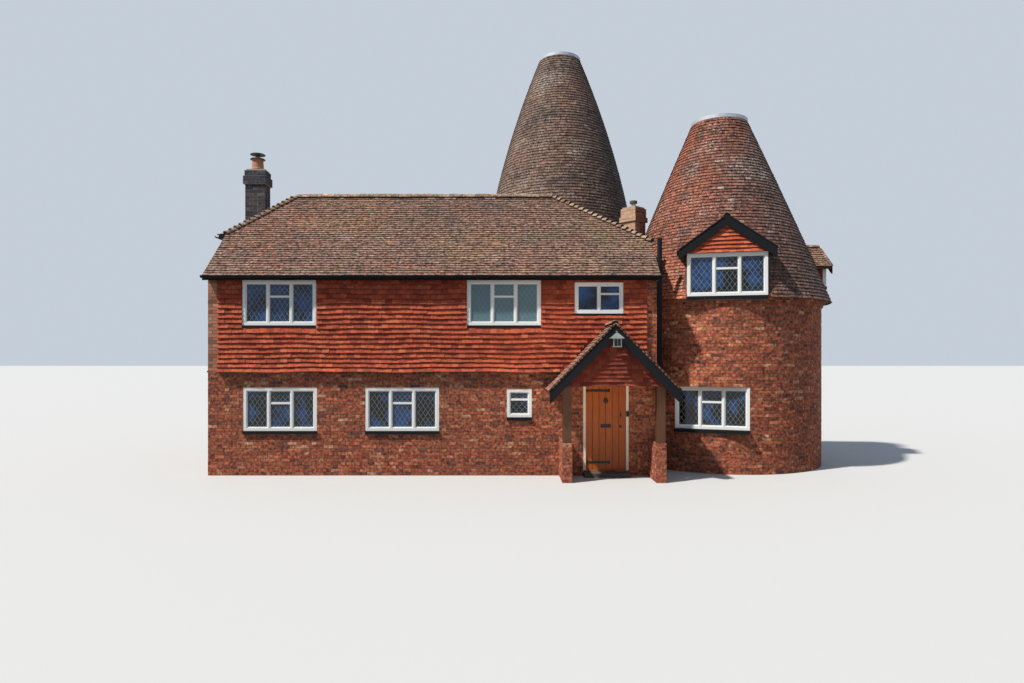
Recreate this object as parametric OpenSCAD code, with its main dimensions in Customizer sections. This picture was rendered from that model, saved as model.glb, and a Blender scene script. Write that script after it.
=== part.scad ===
// Oast house: a two-storey range with two round drying kilns and a gabled porch.
// Millimetres, +Z up. Origin on the ground at the centre of the range's footprint,
// +X along the range towards the front kiln, the entrance front faces -Y.

/* [Range] */
// Outside length of the range
range_length = 10650; // [9600:50:12000]
// Outside depth of the range
range_depth = 5200; // [4800:50:5800]
// Ground to the roof's underside at the outer face of the long walls
wall_height = 4770; // [4600:10:5200]
// Thickness of the brick walls
wall_t = 330; // [215:5:450]
// Top of the ground-floor slab
floor_z = 120; // [80:5:200]
// Underside of the upper floor
upper_floor_under = 2290; // [2200:5:2380]
// Thickness of the upper floor
upper_floor_t = 180; // [120:5:240]
// Height where the ground-storey brick ends and the upper storey begins
storey_z = 2450; // [2350:10:2600]

/* [Main roof] */
// Pitch of the two long slopes
roof_pitch = 42; // [36:1:50]
// Plumb thickness of tiles, battens and rafters
roof_t = 130; // [100:5:180]
// Overhang of the long eaves
eaves_overhang = 170; // [120:5:260]
// Overhang at the gable verges
verge_overhang = 60; // [30:5:120]
// Height of the left half-hip's own eaves
left_hip_z = 5950; // [5750:10:6200]
// Height of the right half-hip's own eaves
right_hip_z = 5720; // [5600:10:6000]
// Distance from the left end wall's face to the ridge's left end
left_hip_inset = 1300; // [900:10:2200]
// Distance from the right end wall's face to the ridge's right end
right_hip_inset = 2330; // [1500:10:2600]
// Radius of the half-round ridge tiles
ridge_tile_r = 115; // [90:5:150]
// Radius of the bonnet hip tiles
hip_tile_r = 95; // [70:5:130]

/* [Tile hanging] */
// Thickness of the hung tiles and battens
hung_t = 50; // [35:5:80]
// How far the lowest hung courses kick out
hung_kick = 60; // [30:5:100]
// Height over which they kick out
hung_kick_h = 300; // [200:10:450]
// Width of the brick quoins left bare at each corner
quoin_w = 240; // [180:10:340]

/* [Gutters and pipes] */
// Outer radius of the half-round gutters
gutter_r = 60; // [45:1:75]
// Wall of gutters and pipes
gutter_wall = 5; // [3:1:8]
// Depth of the fascia board
fascia_h = 120; // [100:5:140]
// Thickness of the fascia board
fascia_t = 25; // [18:1:35]
// Radius of the rainwater downpipe
downpipe_r = 36; // [30:1:45]
// Radius of the vent pipe in the recess
vent_r = 55; // [45:1:60]
// Top of the vent pipe
vent_top = 5680; // [5400:10:6000]

/* [Left chimney] */
// Width of the shaft along the range
left_stack_w = 535; // [450:5:700]
// How far the shaft stands out from the end wall's face above the eaves
left_stack_out = 60; // [0:5:60]
// Depth of the shaft
left_stack_d = 380; // [330:5:600]
// Top of the brickwork
left_stack_top = 7960; // [7700:10:8400]
// Width of the breast inside the end wall, along Y
breast_w = 1150; // [900:10:1500]
// Projection of the breast into the rooms
breast_d = 420; // [300:10:600]
// Height where the breast gathers into the shaft
breast_top = 5200; // [5000:10:5500]

/* [Right chimney] */
// Side of the square shaft
right_stack_w = 470; // [400:5:500]
// Turn of the shaft about its axis
right_stack_turn = 43; // [30:1:45]
// Place of the shaft along X, out from the end wall's face
right_stack_out = 30; // [0:5:50]
// Place of the shaft along Y
right_stack_y = 650; // [600:10:750]
// Top of the brickwork
right_stack_top = 7080; // [6900:10:7400]
// Depth of the shaft's seat in the end wall
right_stack_seat = 5400; // [5300:10:5500]

/* [Chimney heads] */
// Height of the left stack's projecting band
left_band_h = 225; // [150:5:300]
// Height of the left stack's crown above the band
left_crown_h = 155; // [120:5:300]
// Height of the right stack's projecting band
right_band_h = 140; // [75:5:225]
// Height of the right stack's crown above the band
right_crown_h = 250; // [150:5:300]
// Projection of the bands
band_out = 45; // [30:5:60]
// Projection of the crowns
crown_out = 15; // [5:1:25]
// Outer radius of the left clay pot at the foot
left_pot_r = 170; // [120:5:180]
// Height of the left clay pot
left_pot_h = 300; // [180:5:500]
// Radius of the left pot's two cowl plates
cowl_r = 204; // [170:2:230]
// Outer radius of the right clay pot at the foot
right_pot_r = 70; // [60:5:110]
// Height of the right clay pot
right_pot_h = 120; // [90:10:300]

/* [Kilns] */
// Outer radius of both round walls
kiln_r = 2570; // [2450:10:2700]
// Thickness of the round walls
kiln_wall_t = 340; // [230:5:450]
// How far the round roofs reach past the walls at the eaves
kiln_eaves_over = 230; // [200:5:250]
// Height of the eaves
kiln_eaves_z = 4250; // [4200:10:4400]
// Horizontal thickness of the tiled cones
kiln_roof_t = 140; // [100:5:180]
// Projection of each of the two oversailing brick courses
kiln_corbel = 40; // [25:5:42]
// How far the front kiln's circle reaches into the range's right end
front_kiln_bite = 280; // [200:5:400]
// Front kiln's axis, behind the range's front wall
front_kiln_back = 2650; // [2500:10:2750]
// Radius at the top of the front cone
front_cap_r = 740; // [600:10:950]
// Height at the top of the front cone's tiles
front_cone_top = 9200; // [8500:50:10000]
// Swell of the front cone at half height
front_bulge = 25; // [0:5:60]
// Rear kiln's axis, from the range's right end
rear_kiln_in = 1805; // [1750:5:1900]
// How far the rear kiln's circle reaches into the range's back
rear_kiln_bite = 620; // [550:5:700]
// Radius at the top of the rear cone
rear_cap_r = 690; // [600:10:850]
// Height at the top of the rear cone's tiles
rear_cone_top = 12900; // [11500:50:13800]
// Swell of the rear cone at half height
rear_bulge = 360; // [0:5:400]
// Height of the metal caps
cap_h = 230; // [150:10:400]
// Projection of the caps' rims past the tiles
cap_lip = 15; // [5:5:40]
// Height of the caps' rims
cap_rim_h = 95; // [50:5:110]

/* [Front dormer] */
// Bearing on the kiln, turned from the front towards the range
dormer_turn = 13; // [10:1:20]
// How far its face stands out from the kiln's wall line
dormer_face_out = 80; // [60:5:150]
// Half width over the cheeks
dormer_half = 925; // [850:5:960]
// Underside of the window
dormer_sill_z = 4275; // [4230:5:4300]
// Height of the window
dormer_window_h = 1030; // [950:10:1060]
// Height from its window's head to its roof's underside at the cheeks
dormer_rise = 145; // [60:5:180]
// Pitch of its roof
dormer_pitch = 35.5; // [32:0.5:40]
// Half span of its roof at the eaves
dormer_span = 1120; // [1080:5:1150]
// Width of its black bargeboards
dormer_barge_w = 205; // [170:5:260]

/* [Side dormer] */
// Bearing on the kiln, turned from the front away from the range
side_dormer_turn = 90; // [80:1:95]
// How far its face stands out from the kiln's wall line
side_dormer_face_out = 105; // [60:5:130]
// Half width over the cheeks
side_dormer_half = 620; // [550:5:700]
// Underside of the window
side_dormer_sill_z = 4710; // [4680:10:4760]
// Height of the window
side_dormer_window_h = 500; // [460:10:560]
// Height from its window's head to its roof's underside at the cheeks
side_dormer_rise = 60; // [40:5:100]
// Pitch of its roof
side_dormer_pitch = 39; // [32:1:44]
// Half span of its roof at the eaves
side_dormer_span = 760; // [700:5:820]
// Width of its black bargeboards
side_dormer_barge_w = 170; // [120:5:220]

/* [Dormer build] */
// Thickness of dormer cheeks and gables
cheek_t = 100; // [70:5:130]
// Plumb thickness of the dormer roofs
dormer_roof_t = 90; // [60:5:110]
// Projection of the dormer roofs past their faces
dormer_verge = 70; // [50:5:120]
// Thickness of the black bargeboards
barge_t = 35; // [25:1:50]
// Height of the dormer's sill beam
sill_beam_h = 80; // [60:5:100]
// Depth of the dormer's sill beam behind the face
sill_beam_d = 260; // [200:10:300]
// Projection of the dormer's sill beam past the face
sill_beam_out = 20; // [10:5:40]

/* [Porch] */
// Centre line of the porch along X, from the range's right end
porch_in = 1155; // [1150:5:1250]
// Distance of the gable's hung face from the front wall
porch_depth = 1050; // [900:10:1400]
// Half distance between the posts' centres
porch_post_half = 1050; // [1000:5:1080]
// Side of the square oak posts
post_w = 190; // [150:5:210]
// Half span of the porch roof at the eaves
porch_span = 1450; // [1400:5:1500]
// Top of the porch ridge
porch_ridge_z = 3560; // [3450:10:3680]
// Pitch of the porch roof
porch_pitch = 45.5; // [42:0.5:48]
// Plumb thickness of the porch roof
porch_roof_t = 110; // [80:5:130]
// Projection of the porch roof past the gable
porch_verge = 110; // [60:5:160]
// Width of the porch bargeboards
porch_barge_w = 225; // [160:5:260]
// Lower edge of the hung gable
porch_gable_z = 2165; // [2140:5:2200]
// Thickness of the hung gable
porch_gable_t = 60; // [40:5:80]
// Side of the square wall plates
plate_w = 110; // [90:5:130]
// Height of the dwarf walls
dwarf_h = 880; // [700:10:1000]
// Thickness of the dwarf walls
dwarf_t = 215; // [200:5:250]
// Width over the lantern's roof
lantern_w = 300; // [220:10:360]
// Height of the lantern
lantern_h = 340; // [280:10:420]

/* [Front door] */
// Centre line of the doorway along X, from the range's right end
door_in = 1205; // [1190:5:1230]
// Width of the door leaf
door_w = 940; // [840:5:960]
// Height of the door leaf
door_h = 1980; // [1900:5:2000]
// Thickness of the door leaf
door_t = 45; // [38:1:60]
// Clearance round the door leaf
door_gap = 8; // [7:0.5:12]
// Width of the door frame's timbers
door_frame_w = 62; // [50:1:75]
// Depth of the door frame
door_frame_d = 100; // [80:5:120]
// Depth of the leaf's face inside the frame's face
door_set_back = 40; // [25:5:50]
// Radius of the hinge barrels on the frame
hinge_r = 9; // [7:0.5:12]
// Height of each hinge barrel
hinge_h = 100; // [70:5:130]
// Running clearance between the leaf and the hinge barrels
hinge_play = 0.3; // [0.2:0.05:0.5]
// Going of the doorstep
step_d = 330; // [250:10:400]
// Rise of the doorstep
step_h = 95; // [70:5:110]

/* [Door ironwork] */
// Length of the strap hinges
strap_l = 560; // [400:10:700]
// Width of the strap hinges
strap_w = 55; // [40:1:70]
// Thickness of the ironwork
iron_t = 8; // [5:1:12]
// Lower strap's middle above the leaf's foot
strap_low = 180; // [150:5:250]
// Upper strap's middle below the leaf's head
strap_high = 95; // [80:5:250]
// Letter plate's width
letter_w = 250; // [200:5:300]
// Letter plate's height
letter_h = 90; // [60:5:120]
// Letter plate's foot above the leaf's foot
letter_z = 1000; // [800:10:1100]
// Radius of the knocker's ring
knocker_r = 48; // [35:1:70]
// Height of the knocker's ring above the leaf's foot
knocker_z = 1640; // [1450:10:1700]
// Radius of the door knob
knob_r = 30; // [22:1:36]
// Height of the door knob above the leaf's foot
knob_z = 1030; // [950:10:1100]
// Radius of the lock's rose
rose_r = 22; // [16:1:28]
// Height of the lock's rose above the leaf's foot
rose_z = 1310; // [1200:10:1400]

/* [Windows] */
// Width of the three-light windows
window_w = 1750; // [1650:10:1800]
// Height of the upper three-light windows
upper_window_h = 1070; // [1000:10:1100]
// Height of the ground-floor three-light windows
lower_window_h = 1030; // [950:10:1100]
// Head of the upper windows
upper_head_z = 4630; // [4560:5:4650]
// Head of the ground-floor windows
lower_head_z = 2085; // [2000:5:2110]
// Width of the two-light windows
two_light_w = 1150; // [1000:10:1200]
// Height of the upper two-light windows
two_light_h = 740; // [650:10:900]
// Width of the single-light window
one_light_w = 595; // [500:5:650]
// Height of the single-light window
one_light_h = 670; // [550:10:800]
// Left windows of both storeys, from the range's left end
left_bay = 1705; // [1500:5:2000]
// Middle ground-floor window, from the range's left end
middle_bay = 4605; // [4400:5:4800]
// Upper three-light window, from the range's right end
upper_right_bay = 3625; // [3500:5:3700]
// Upper two-light window, from the range's right end
two_light_bay = 1375; // [1300:5:1450]
// Single-light window, from the range's right end
one_light_bay = 3265; // [3200:5:3300]
// Windows of the left end wall, from its front corner
end_bay = 1300; // [1200:10:1350]
// Kiln windows: bearing from the front towards the range
kiln_window_turn = 21; // [15:1:26]
// Rear kiln's window: bearing from the front, round the back
rear_window_turn = 160; // [140:1:220]
// Width of the frames' outer bars
frame_w = 70; // [50:1:80]
// Depth of the frames
frame_d = 90; // [70:5:110]
// Width of the mullions
mullion_w = 42; // [36:1:60]
// Width of the casements' own bars
casement_w = 24; // [20:1:35]
// Depth of the casements
casement_d = 45; // [35:1:55]
// Share of a light's height above its transom
transom_share = 0.34; // [0.25:0.01:0.45]
// Thickness of the glass
glass_t = 8; // [4:1:12]
// Projection of the ground-floor sills
sill_out = 60; // [30:5:90]
// Height of the sills
sill_h = 70; // [50:5:90]
// Height of the lead aprons under the upper windows
apron_h = 55; // [40:5:140]
// Thickness of the lead aprons
apron_t = 12; // [6:1:20]

/* [Hidden] */
$fn = 96;
// Facets of the kilns' round walls and roofs
kiln_fn = 288;

// A small overrun so that cutters pass clean through a face
cut = 10;
// Play between a gable's infill and the roof over it
seat_gap = 1;
// A height above everything
sky = rear_cone_top + 1000;

half_l = range_length / 2;
half_d = range_depth / 2;
roof_hx = half_l + verge_overhang;
roof_hy = half_d + eaves_overhang;
ridge_z = wall_height + half_d * tan(roof_pitch) + roof_t;
ridge_left = -half_l + left_hip_inset;
ridge_right = half_l - right_hip_inset;
left_hip_slope = (ridge_z - left_hip_z) / (ridge_left + roof_hx);
right_hip_slope = (ridge_z - right_hip_z) / (roof_hx - ridge_right);

door_x = half_l - door_in;
porch_x = half_l - porch_in;
front_kiln = [half_l + kiln_r - front_kiln_bite, -half_d + front_kiln_back];
rear_kiln = [half_l - rear_kiln_in, half_d + kiln_r - rear_kiln_bite];
kiln_eaves_r = kiln_r + kiln_eaves_over;
dormer_face_r = kiln_r + dormer_face_out;
side_dormer_face_r = kiln_r + side_dormer_face_out;
cone_slope = (front_cone_top - kiln_eaves_z) / (kiln_eaves_r - front_cap_r);
// The round walls stop where the cones' undersides cross their outer faces
kiln_wall_top = kiln_eaves_z + (kiln_eaves_r - kiln_roof_t - kiln_r) * cone_slope;
kiln_course_h = 75;
// Height of the mortar bed under the chimney pots
flaunching_h = 40;
// Heights of the cowl's plates, of their spacing and of the right pot's cover
plate_h = 18;
plate_step = 130;
cover_h = 70;
// Drops of the rainwater pipe's outlet under the gutter and of its neck under the eaves
outlet_drop = 70;
neck_drop = 380;
// Rim and height of the pipe clips
clip_rim = 10;
clip_h = 40;
cone_steps = 14;

door_left = door_x - door_w / 2;
door_bottom = floor_z + door_gap;
door_face_y = -half_d + door_set_back;
// The leaf turns inwards about the hinge barrels at its left inner edge
hinge_x = door_left - door_gap / 2;
hinge_y = door_face_y + door_t + sqrt(pow(hinge_r + hinge_play, 2) - pow(door_gap / 2, 2));
doorway_half = door_w / 2 + door_gap + door_frame_w;
doorway_top = door_bottom + door_h + door_gap + door_frame_w;

porch_post_y = -half_d - porch_depth + porch_gable_t + post_w / 2;
porch_front_y = -half_d - porch_depth - porch_verge;
plate_top = porch_ridge_z - porch_roof_t
    - (porch_post_half + plate_w / 2) * tan(porch_pitch);

brick = "firebrick";
tile = "sienna";
hung = "orangered";
black_paint = "darkslategray";
white_paint = "white";

// Cone outline: radius at a share of the way down from the top
function cone_r(top_r, bulge, share) =
    top_r + (kiln_eaves_r - top_r) * share + 4 * bulge * share * (1 - share);

// Solid of the range up to its roof's underside, raised by lift
module roof_volume(lift) {
    over = lift > 0 ? 0 : cut;
    z_end = wall_height - (eaves_overhang + over) * tan(roof_pitch) + lift;
    z_ridge = ridge_z - roof_t + lift;
    z_left = left_hip_z - roof_t + lift - over * left_hip_slope;
    z_right = right_hip_z - roof_t + lift - over * right_hip_slope;
    intersection() {
        rotate([90, 0, 90])
            linear_extrude(2 * (roof_hx + over), center = true)
                polygon([
                    [-roof_hy - over, -cut], [-roof_hy - over, z_end], [0, z_ridge],
                    [roof_hy + over, z_end], [roof_hy + over, -cut]
                ]);
        rotate([90, 0, 0])
            linear_extrude(2 * (roof_hy + over), center = true)
                polygon([
                    [-roof_hx - over, -cut], [-roof_hx - over, z_left],
                    [ridge_left, z_ridge], [ridge_right, z_ridge],
                    [roof_hx + over, z_right], [roof_hx + over, -cut]
                ]);
    }
}

module roof_shell() {
    difference() {
        roof_volume(roof_t);
        roof_volume(0);
    }
}

// Everything that the range itself fills, for trimming what leans on it
module range_envelope() {
    translate([-half_l, -half_d, -cut])
        cube([range_length, range_depth, wall_height + cut]);
    difference() {
        roof_volume(roof_t);
        difference() {
            roof_volume(0);
            translate([-half_l, -half_d, -2 * cut])
                cube([range_length, range_depth, sky]);
        }
    }
}

module plan(points) {
    linear_extrude(sky)
        polygon(points);
}

// Window shapes, seen from outside: x across, z up, the outer face at y = 0
module light_bars(w, h) {
    translate([0, (frame_d - casement_d) / 2, 0])
        difference() {
            cube([w, casement_d, h]);
            translate([casement_w, -cut, casement_w])
                cube([w - 2 * casement_w, casement_d + 2 * cut, h - 2 * casement_w]);
        }
}

function light_w(w, lights) = (w - 2 * frame_w - (lights - 1) * mullion_w) / lights;
function light_x(w, lights, i) = -w / 2 + frame_w + i * (light_w(w, lights) + mullion_w);
function split_light(lights, i) = lights == 1 || i == (lights == 3 ? 1 : lights - 1);

module window_frame(w, h, lights) {
    lw = light_w(w, lights);
    lh = h - 2 * frame_w;
    upper = lh * transom_share;
    difference() {
        translate([-w / 2, 0, 0])
            cube([w, frame_d, h]);
        for (i = [0 : lights - 1])
            translate([light_x(w, lights, i), -cut, frame_w])
                cube([lw, frame_d + 2 * cut, lh]);
    }
    for (i = [0 : lights - 1])
        translate([light_x(w, lights, i), 0, frame_w])
            if (split_light(lights, i)) {
                light_bars(lw, lh - upper);
                translate([0, 0, lh - upper])
                    light_bars(lw, upper);
            } else {
                light_bars(lw, lh);
            }
}

module window_panes(w, h, lights) {
    lw = light_w(w, lights) - 2 * casement_w;
    lh = h - 2 * frame_w;
    upper = lh * transom_share;
    for (i = [0 : lights - 1])
        translate([
            light_x(w, lights, i) + casement_w, (frame_d - glass_t) / 2, frame_w + casement_w
        ])
            if (split_light(lights, i)) {
                cube([lw, glass_t, lh - upper - 2 * casement_w]);
                translate([0, 0, lh - upper])
                    cube([lw, glass_t, upper - 2 * casement_w]);
            } else {
                cube([lw, glass_t, lh - 2 * casement_w]);
            }
}

// Places a child on a wall: front, back or left, at a distance along it and a height
module on_front(x, z, out = 0) {
    translate([x, -half_d - out, z])
        children();
}

module on_back(x, z, out = 0) {
    translate([x, half_d + out, z])
        rotate([0, 0, 180])
            children();
}

module on_left(y, z, out = 0) {
    translate([-half_l - out, y, z])
        rotate([0, 0, -90])
            children();
}

// Places a child on a kiln: bearing from the front, positive away from the range
module on_kiln(axis, bearing) {
    translate([axis[0], axis[1], 0])
        rotate([0, 0, bearing])
            children();
}

upper_sill = upper_head_z - upper_window_h;
lower_sill = lower_head_z - lower_window_h;
two_light_sill = upper_head_z - 50 - two_light_h;
one_light_sill = lower_head_z - 35 - one_light_h;
kiln_frame_r = sqrt(kiln_r * kiln_r - window_w * window_w / 4);

// Runs a child module through every window of one storey of the range:
// the modules are named by which shape is wanted
module each_upper(shape, out) {
    on_front(-half_l + left_bay, upper_sill, out)
        window_shape(shape, window_w, upper_window_h, 3);
    on_front(half_l - upper_right_bay, upper_sill, out)
        window_shape(shape, window_w, upper_window_h, 3);
    on_front(half_l - two_light_bay, two_light_sill, out)
        window_shape(shape, two_light_w, two_light_h, 2);
    for (x = [left_bay, middle_bay])
        on_back(-half_l + x, upper_sill, out)
            window_shape(shape, window_w, upper_window_h, 3);
    on_left(-half_d + end_bay, two_light_sill, out)
        window_shape(shape, two_light_w, two_light_h, 2);
}

module each_lower(shape, out = 0) {
    for (x = [left_bay, middle_bay]) {
        on_front(-half_l + x, lower_sill, out)
            window_shape(shape, window_w, lower_window_h, 3);
        on_back(-half_l + x, lower_sill, out)
            window_shape(shape, window_w, lower_window_h, 3);
    }
    on_front(half_l - one_light_bay, one_light_sill, out)
        window_shape(shape, one_light_w, one_light_h, 1);
    on_left(-half_d + end_bay, lower_sill, out)
        window_shape(shape, two_light_w, lower_window_h, 2);
}

module each_kiln(shape) {
    on_kiln(front_kiln, -kiln_window_turn)
        translate([0, -kiln_frame_r, lower_sill])
            window_shape(shape, window_w, lower_window_h, 3, kiln_r - kiln_frame_r);
    on_kiln(rear_kiln, rear_window_turn)
        translate([0, -kiln_frame_r, lower_sill])
            window_shape(shape, window_w, lower_window_h, 3, kiln_r - kiln_frame_r);
}

module each_dormer(shape) {
    on_kiln(front_kiln, -dormer_turn)
        translate([0, -dormer_face_r, dormer_sill_z])
            window_shape(shape, 2 * dormer_half, dormer_window_h, 3);
    on_kiln(front_kiln, side_dormer_turn)
        translate([0, -side_dormer_face_r, side_dormer_sill_z])
            window_shape(shape, 2 * side_dormer_half, side_dormer_window_h, 2);
}

module window_shape(shape, w, h, lights, bow = 0) {
    if (shape == "frame")
        window_frame(w, h, lights);
    if (shape == "panes")
        window_panes(w, h, lights);
    if (shape == "hole")
        translate([-w / 2, -wall_t, 0])
            cube([w, 3 * wall_t, h]);
    if (shape == "sill")
        translate([-w / 2, -sill_out - bow, -sill_h])
            cube([w, sill_out + bow + frame_d, sill_h]);
    if (shape == "sill_seat")
        translate([-w / 2, -sill_out - bow - cut, -sill_h])
            cube([w, sill_out + bow + frame_d + cut, sill_h]);
    if (shape == "apron")
        translate([-w / 2 - frame_w, -apron_t, -apron_h])
            cube([w + 2 * frame_w, apron_t, apron_h]);
}

// Walls of the range
module wall_cuts() {
    each_lower("hole");
    each_lower("sill_seat");
    each_upper("hole", 0);
}

module front_wall_part(x0, x1, z0, z1) {
    color(brick)
        difference() {
            intersection() {
                roof_volume(0);
                translate([x0, -half_d, z0])
                    cube([x1 - x0, wall_t, z1 - z0]);
            }
            wall_cuts();
        }
}

module front_wall_left() {
    front_wall_part(-half_l, door_x - doorway_half, 0, storey_z);
}

module front_wall_right() {
    front_wall_part(door_x + doorway_half, half_l, 0, storey_z);
}

module front_wall_door_head() {
    front_wall_part(door_x - doorway_half, door_x + doorway_half, doorway_top, storey_z);
}

module front_wall_upper() {
    front_wall_part(-half_l, half_l, storey_z, sky);
}

module back_wall() {
    color(brick)
        difference() {
            intersection() {
                roof_volume(0);
                translate([-half_l, half_d - wall_t, 0])
                    cube([range_length, wall_t, sky]);
            }
            wall_cuts();
        }
}

module left_end_wall() {
    color(brick)
        difference() {
            intersection() {
                roof_volume(0);
                translate([-half_l, -half_d + wall_t, 0])
                    cube([wall_t, range_depth - 2 * wall_t, sky]);
            }
            wall_cuts();
            left_shaft();
        }
}

module right_end_wall() {
    color(brick)
        difference() {
            intersection() {
                roof_volume(0);
                translate([half_l - wall_t, -half_d + wall_t, 0])
                    cube([wall_t, range_depth - 2 * wall_t, sky]);
            }
            right_shaft();
        }
}

module ground_floor() {
    color("darkgray") {
        translate([-half_l + wall_t, -half_d + wall_t, 0])
            difference() {
                cube([range_length - 2 * wall_t, range_depth - 2 * wall_t, floor_z]);
                translate([0, half_d - wall_t - breast_w / 2, -cut])
                    cube([breast_d, breast_w, floor_z + 2 * cut]);
            }
        translate([door_x - doorway_half, -half_d, 0])
            cube([2 * doorway_half, wall_t, floor_z]);
        for (axis = [front_kiln, rear_kiln])
            difference() {
                translate([axis[0], axis[1], 0])
                    cylinder(r = kiln_r - kiln_wall_t, h = floor_z, $fn = kiln_fn);
                range_envelope();
            }
    }
}

module upper_floor() {
    color("burlywood") {
        translate([-half_l + wall_t, -half_d + wall_t, upper_floor_under])
            difference() {
                cube([range_length - 2 * wall_t, range_depth - 2 * wall_t, upper_floor_t]);
                translate([0, half_d - wall_t - breast_w / 2, -cut])
                    cube([breast_d, breast_w, upper_floor_t + 2 * cut]);
            }
        for (axis = [front_kiln, rear_kiln])
            difference() {
                translate([axis[0], axis[1], upper_floor_under])
                    cylinder(r = kiln_r - kiln_wall_t, h = upper_floor_t, $fn = kiln_fn);
                range_envelope();
            }
    }
}

// Hung tiles of the upper storey, in the profile that kicks out at the foot
module hung_profile() {
    polygon([
        [0, storey_z], [hung_t + hung_kick, storey_z], [hung_t, storey_z + hung_kick_h],
        [hung_t, wall_height - hung_t * tan(roof_pitch)], [0, wall_height]
    ]);
}

module hung_panel(w) {
    rotate([90, 0, -90])
        linear_extrude(w, center = true)
            hung_profile();
}

// The same on the gable end, carried up to the roof
module hung_gable(w) {
    intersection() {
        union() {
            hung_panel(w);
            translate([-w / 2, -hung_t, storey_z + hung_kick_h])
                cube([w, hung_t, sky]);
        }
        translate([0, half_l, 0])
            rotate([0, 0, 90])
                roof_volume(0);
    }
}

module tile_hanging() {
    long_w = range_length - 2 * quoin_w;
    end_w = range_depth - 2 * quoin_w;
    color(hung)
        difference() {
            union() {
                translate([0, -half_d, 0])
                    hung_panel(long_w);
                translate([0, half_d, 0])
                    rotate([0, 0, 180])
                        hung_panel(long_w);
                translate([-half_l, 0, 0])
                    rotate([0, 0, -90])
                        hung_gable(end_w);
            }
            each_upper("hole", 0);
            porch_volume(0);
            left_shaft();
            translate([rear_kiln[0], rear_kiln[1], -cut])
                cylinder(r = kiln_r, h = sky, $fn = kiln_fn);
            translate([rear_kiln[0], rear_kiln[1], kiln_eaves_z - 2 * kiln_course_h])
                cylinder(r = kiln_r + 2 * kiln_corbel, h = 2 * kiln_course_h, $fn = kiln_fn);
            translate([rear_kiln[0], rear_kiln[1], 0])
                cone_solid(rear_cap_r, rear_bulge, rear_cone_top);
        }
}

// Main roof, mitred along its ridge and hips
module roof_front_slope() {
    color(tile)
        intersection() {
            roof_shell();
            plan([
                [-roof_hx - cut, -roof_hy - cut], [roof_hx + cut, -roof_hy - cut],
                [roof_hx + cut, -hip_line_y(1)], [ridge_right, 0],
                [ridge_left, 0], [-roof_hx - cut, -hip_line_y(-1)]
            ]);
        }
}

// Where a hip's line in plan reaches the cutters' edge, on the right or the left
// Half length of a half-hip's eaves, on the left (-1) or the right (1)
function hip_corner(side) =
    half_d - ((side > 0 ? right_hip_z : left_hip_z) - roof_t - wall_height) / tan(roof_pitch);

function hip_line_y(side) =
    hip_corner(side) * (1 + cut / (side > 0 ? roof_hx - ridge_right : ridge_left + roof_hx));

module roof_back_slope() {
    color(tile)
        intersection() {
            roof_shell();
            plan([
                [-roof_hx - cut, roof_hy + cut], [roof_hx + cut, roof_hy + cut],
                [roof_hx + cut, hip_line_y(1)], [ridge_right, 0],
                [ridge_left, 0], [-roof_hx - cut, hip_line_y(-1)]
            ]);
        }
}

module roof_half_hips() {
    color(tile)
        difference() {
            intersection() {
                roof_shell();
                union() {
                    plan([
                        [-roof_hx - cut, -hip_line_y(-1)], [ridge_left, 0],
                        [-roof_hx - cut, hip_line_y(-1)]
                    ]);
                    plan([
                        [roof_hx + cut, -hip_line_y(1)], [ridge_right, 0],
                        [roof_hx + cut, hip_line_y(1)]
                    ]);
                }
            }
            left_shaft();
            right_shaft();
        }
}

// A round bar between two points, for the ridge and hip tiles
module bar(p, q, r) {
    v = q - p;
    len = norm(v);
    translate(p)
        rotate([0, acos(v[2] / len), atan2(v[1], v[0])])
            cylinder(r = r, h = len, $fn = 24);
}

module ridge_and_hip_tiles() {
    left_end = [ridge_left, 0, ridge_z];
    right_end = [ridge_right, 0, ridge_z];
    color("peru")
        difference() {
            union() {
                bar(left_end, right_end, ridge_tile_r);
                for (side = [-1, 1]) {
                    bar(left_end, [-roof_hx, side * hip_corner(-1), left_hip_z], hip_tile_r);
                    bar(right_end, [roof_hx, side * hip_corner(1), right_hip_z], hip_tile_r);
                }
            }
            roof_volume(roof_t);
        }
}

// Gutters on fascia boards
module gutter(len) {
    rotate([0, 90, 0])
        difference() {
            cylinder(r = gutter_r, h = len, $fn = 32);
            translate([0, 0, gutter_wall])
                cylinder(r = gutter_r - gutter_wall, h = len - 2 * gutter_wall, $fn = 32);
            translate([-gutter_r - cut, -gutter_r - cut, -cut])
                cube([gutter_r + cut, 2 * (gutter_r + cut), len + 2 * cut]);
        }
}

eaves_under = wall_height - eaves_overhang * tan(roof_pitch);
gutter_y = roof_hy + fascia_t + gutter_r;
gutter_z = eaves_under + fascia_h - 20;
back_gutter_end = rear_kiln[0]
    - sqrt(pow(kiln_eaves_r, 2) - pow(rear_kiln[1] - gutter_y - gutter_r, 2)) - 60;

// Gutter and fascia along the left half-hip's eaves
module hip_gutter() {
    run = hip_corner(-1) - 2 * hip_tile_r;
    translate([-roof_hx - fascia_t - gutter_r, -run, left_hip_z - roof_t + fascia_h - 20])
        rotate([0, 0, 90])
            gutter(2 * run);
    translate([-roof_hx - fascia_t, -run, left_hip_z - roof_t])
        cube([fascia_t, 2 * run, fascia_h]);
}

module gutters() {
    color(black_paint) {
        hip_gutter();
        translate([-roof_hx, -gutter_y, gutter_z])
            gutter(2 * roof_hx);
        translate([-roof_hx, -roof_hy - fascia_t, eaves_under])
            cube([2 * roof_hx, fascia_t, fascia_h]);
        translate([-roof_hx, gutter_y, gutter_z])
            gutter(back_gutter_end + roof_hx);
        translate([-roof_hx, roof_hy, eaves_under])
            cube([back_gutter_end + roof_hx, fascia_t, fascia_h]);
    }
}

// Pipes: one from the front gutter's right end, one vent in the recess
rain_pipe = [half_l + downpipe_r + 20, -half_d + 90];
vent_pipe = [half_l + verge_overhang + vent_r + 15, -half_d + 260];

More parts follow.
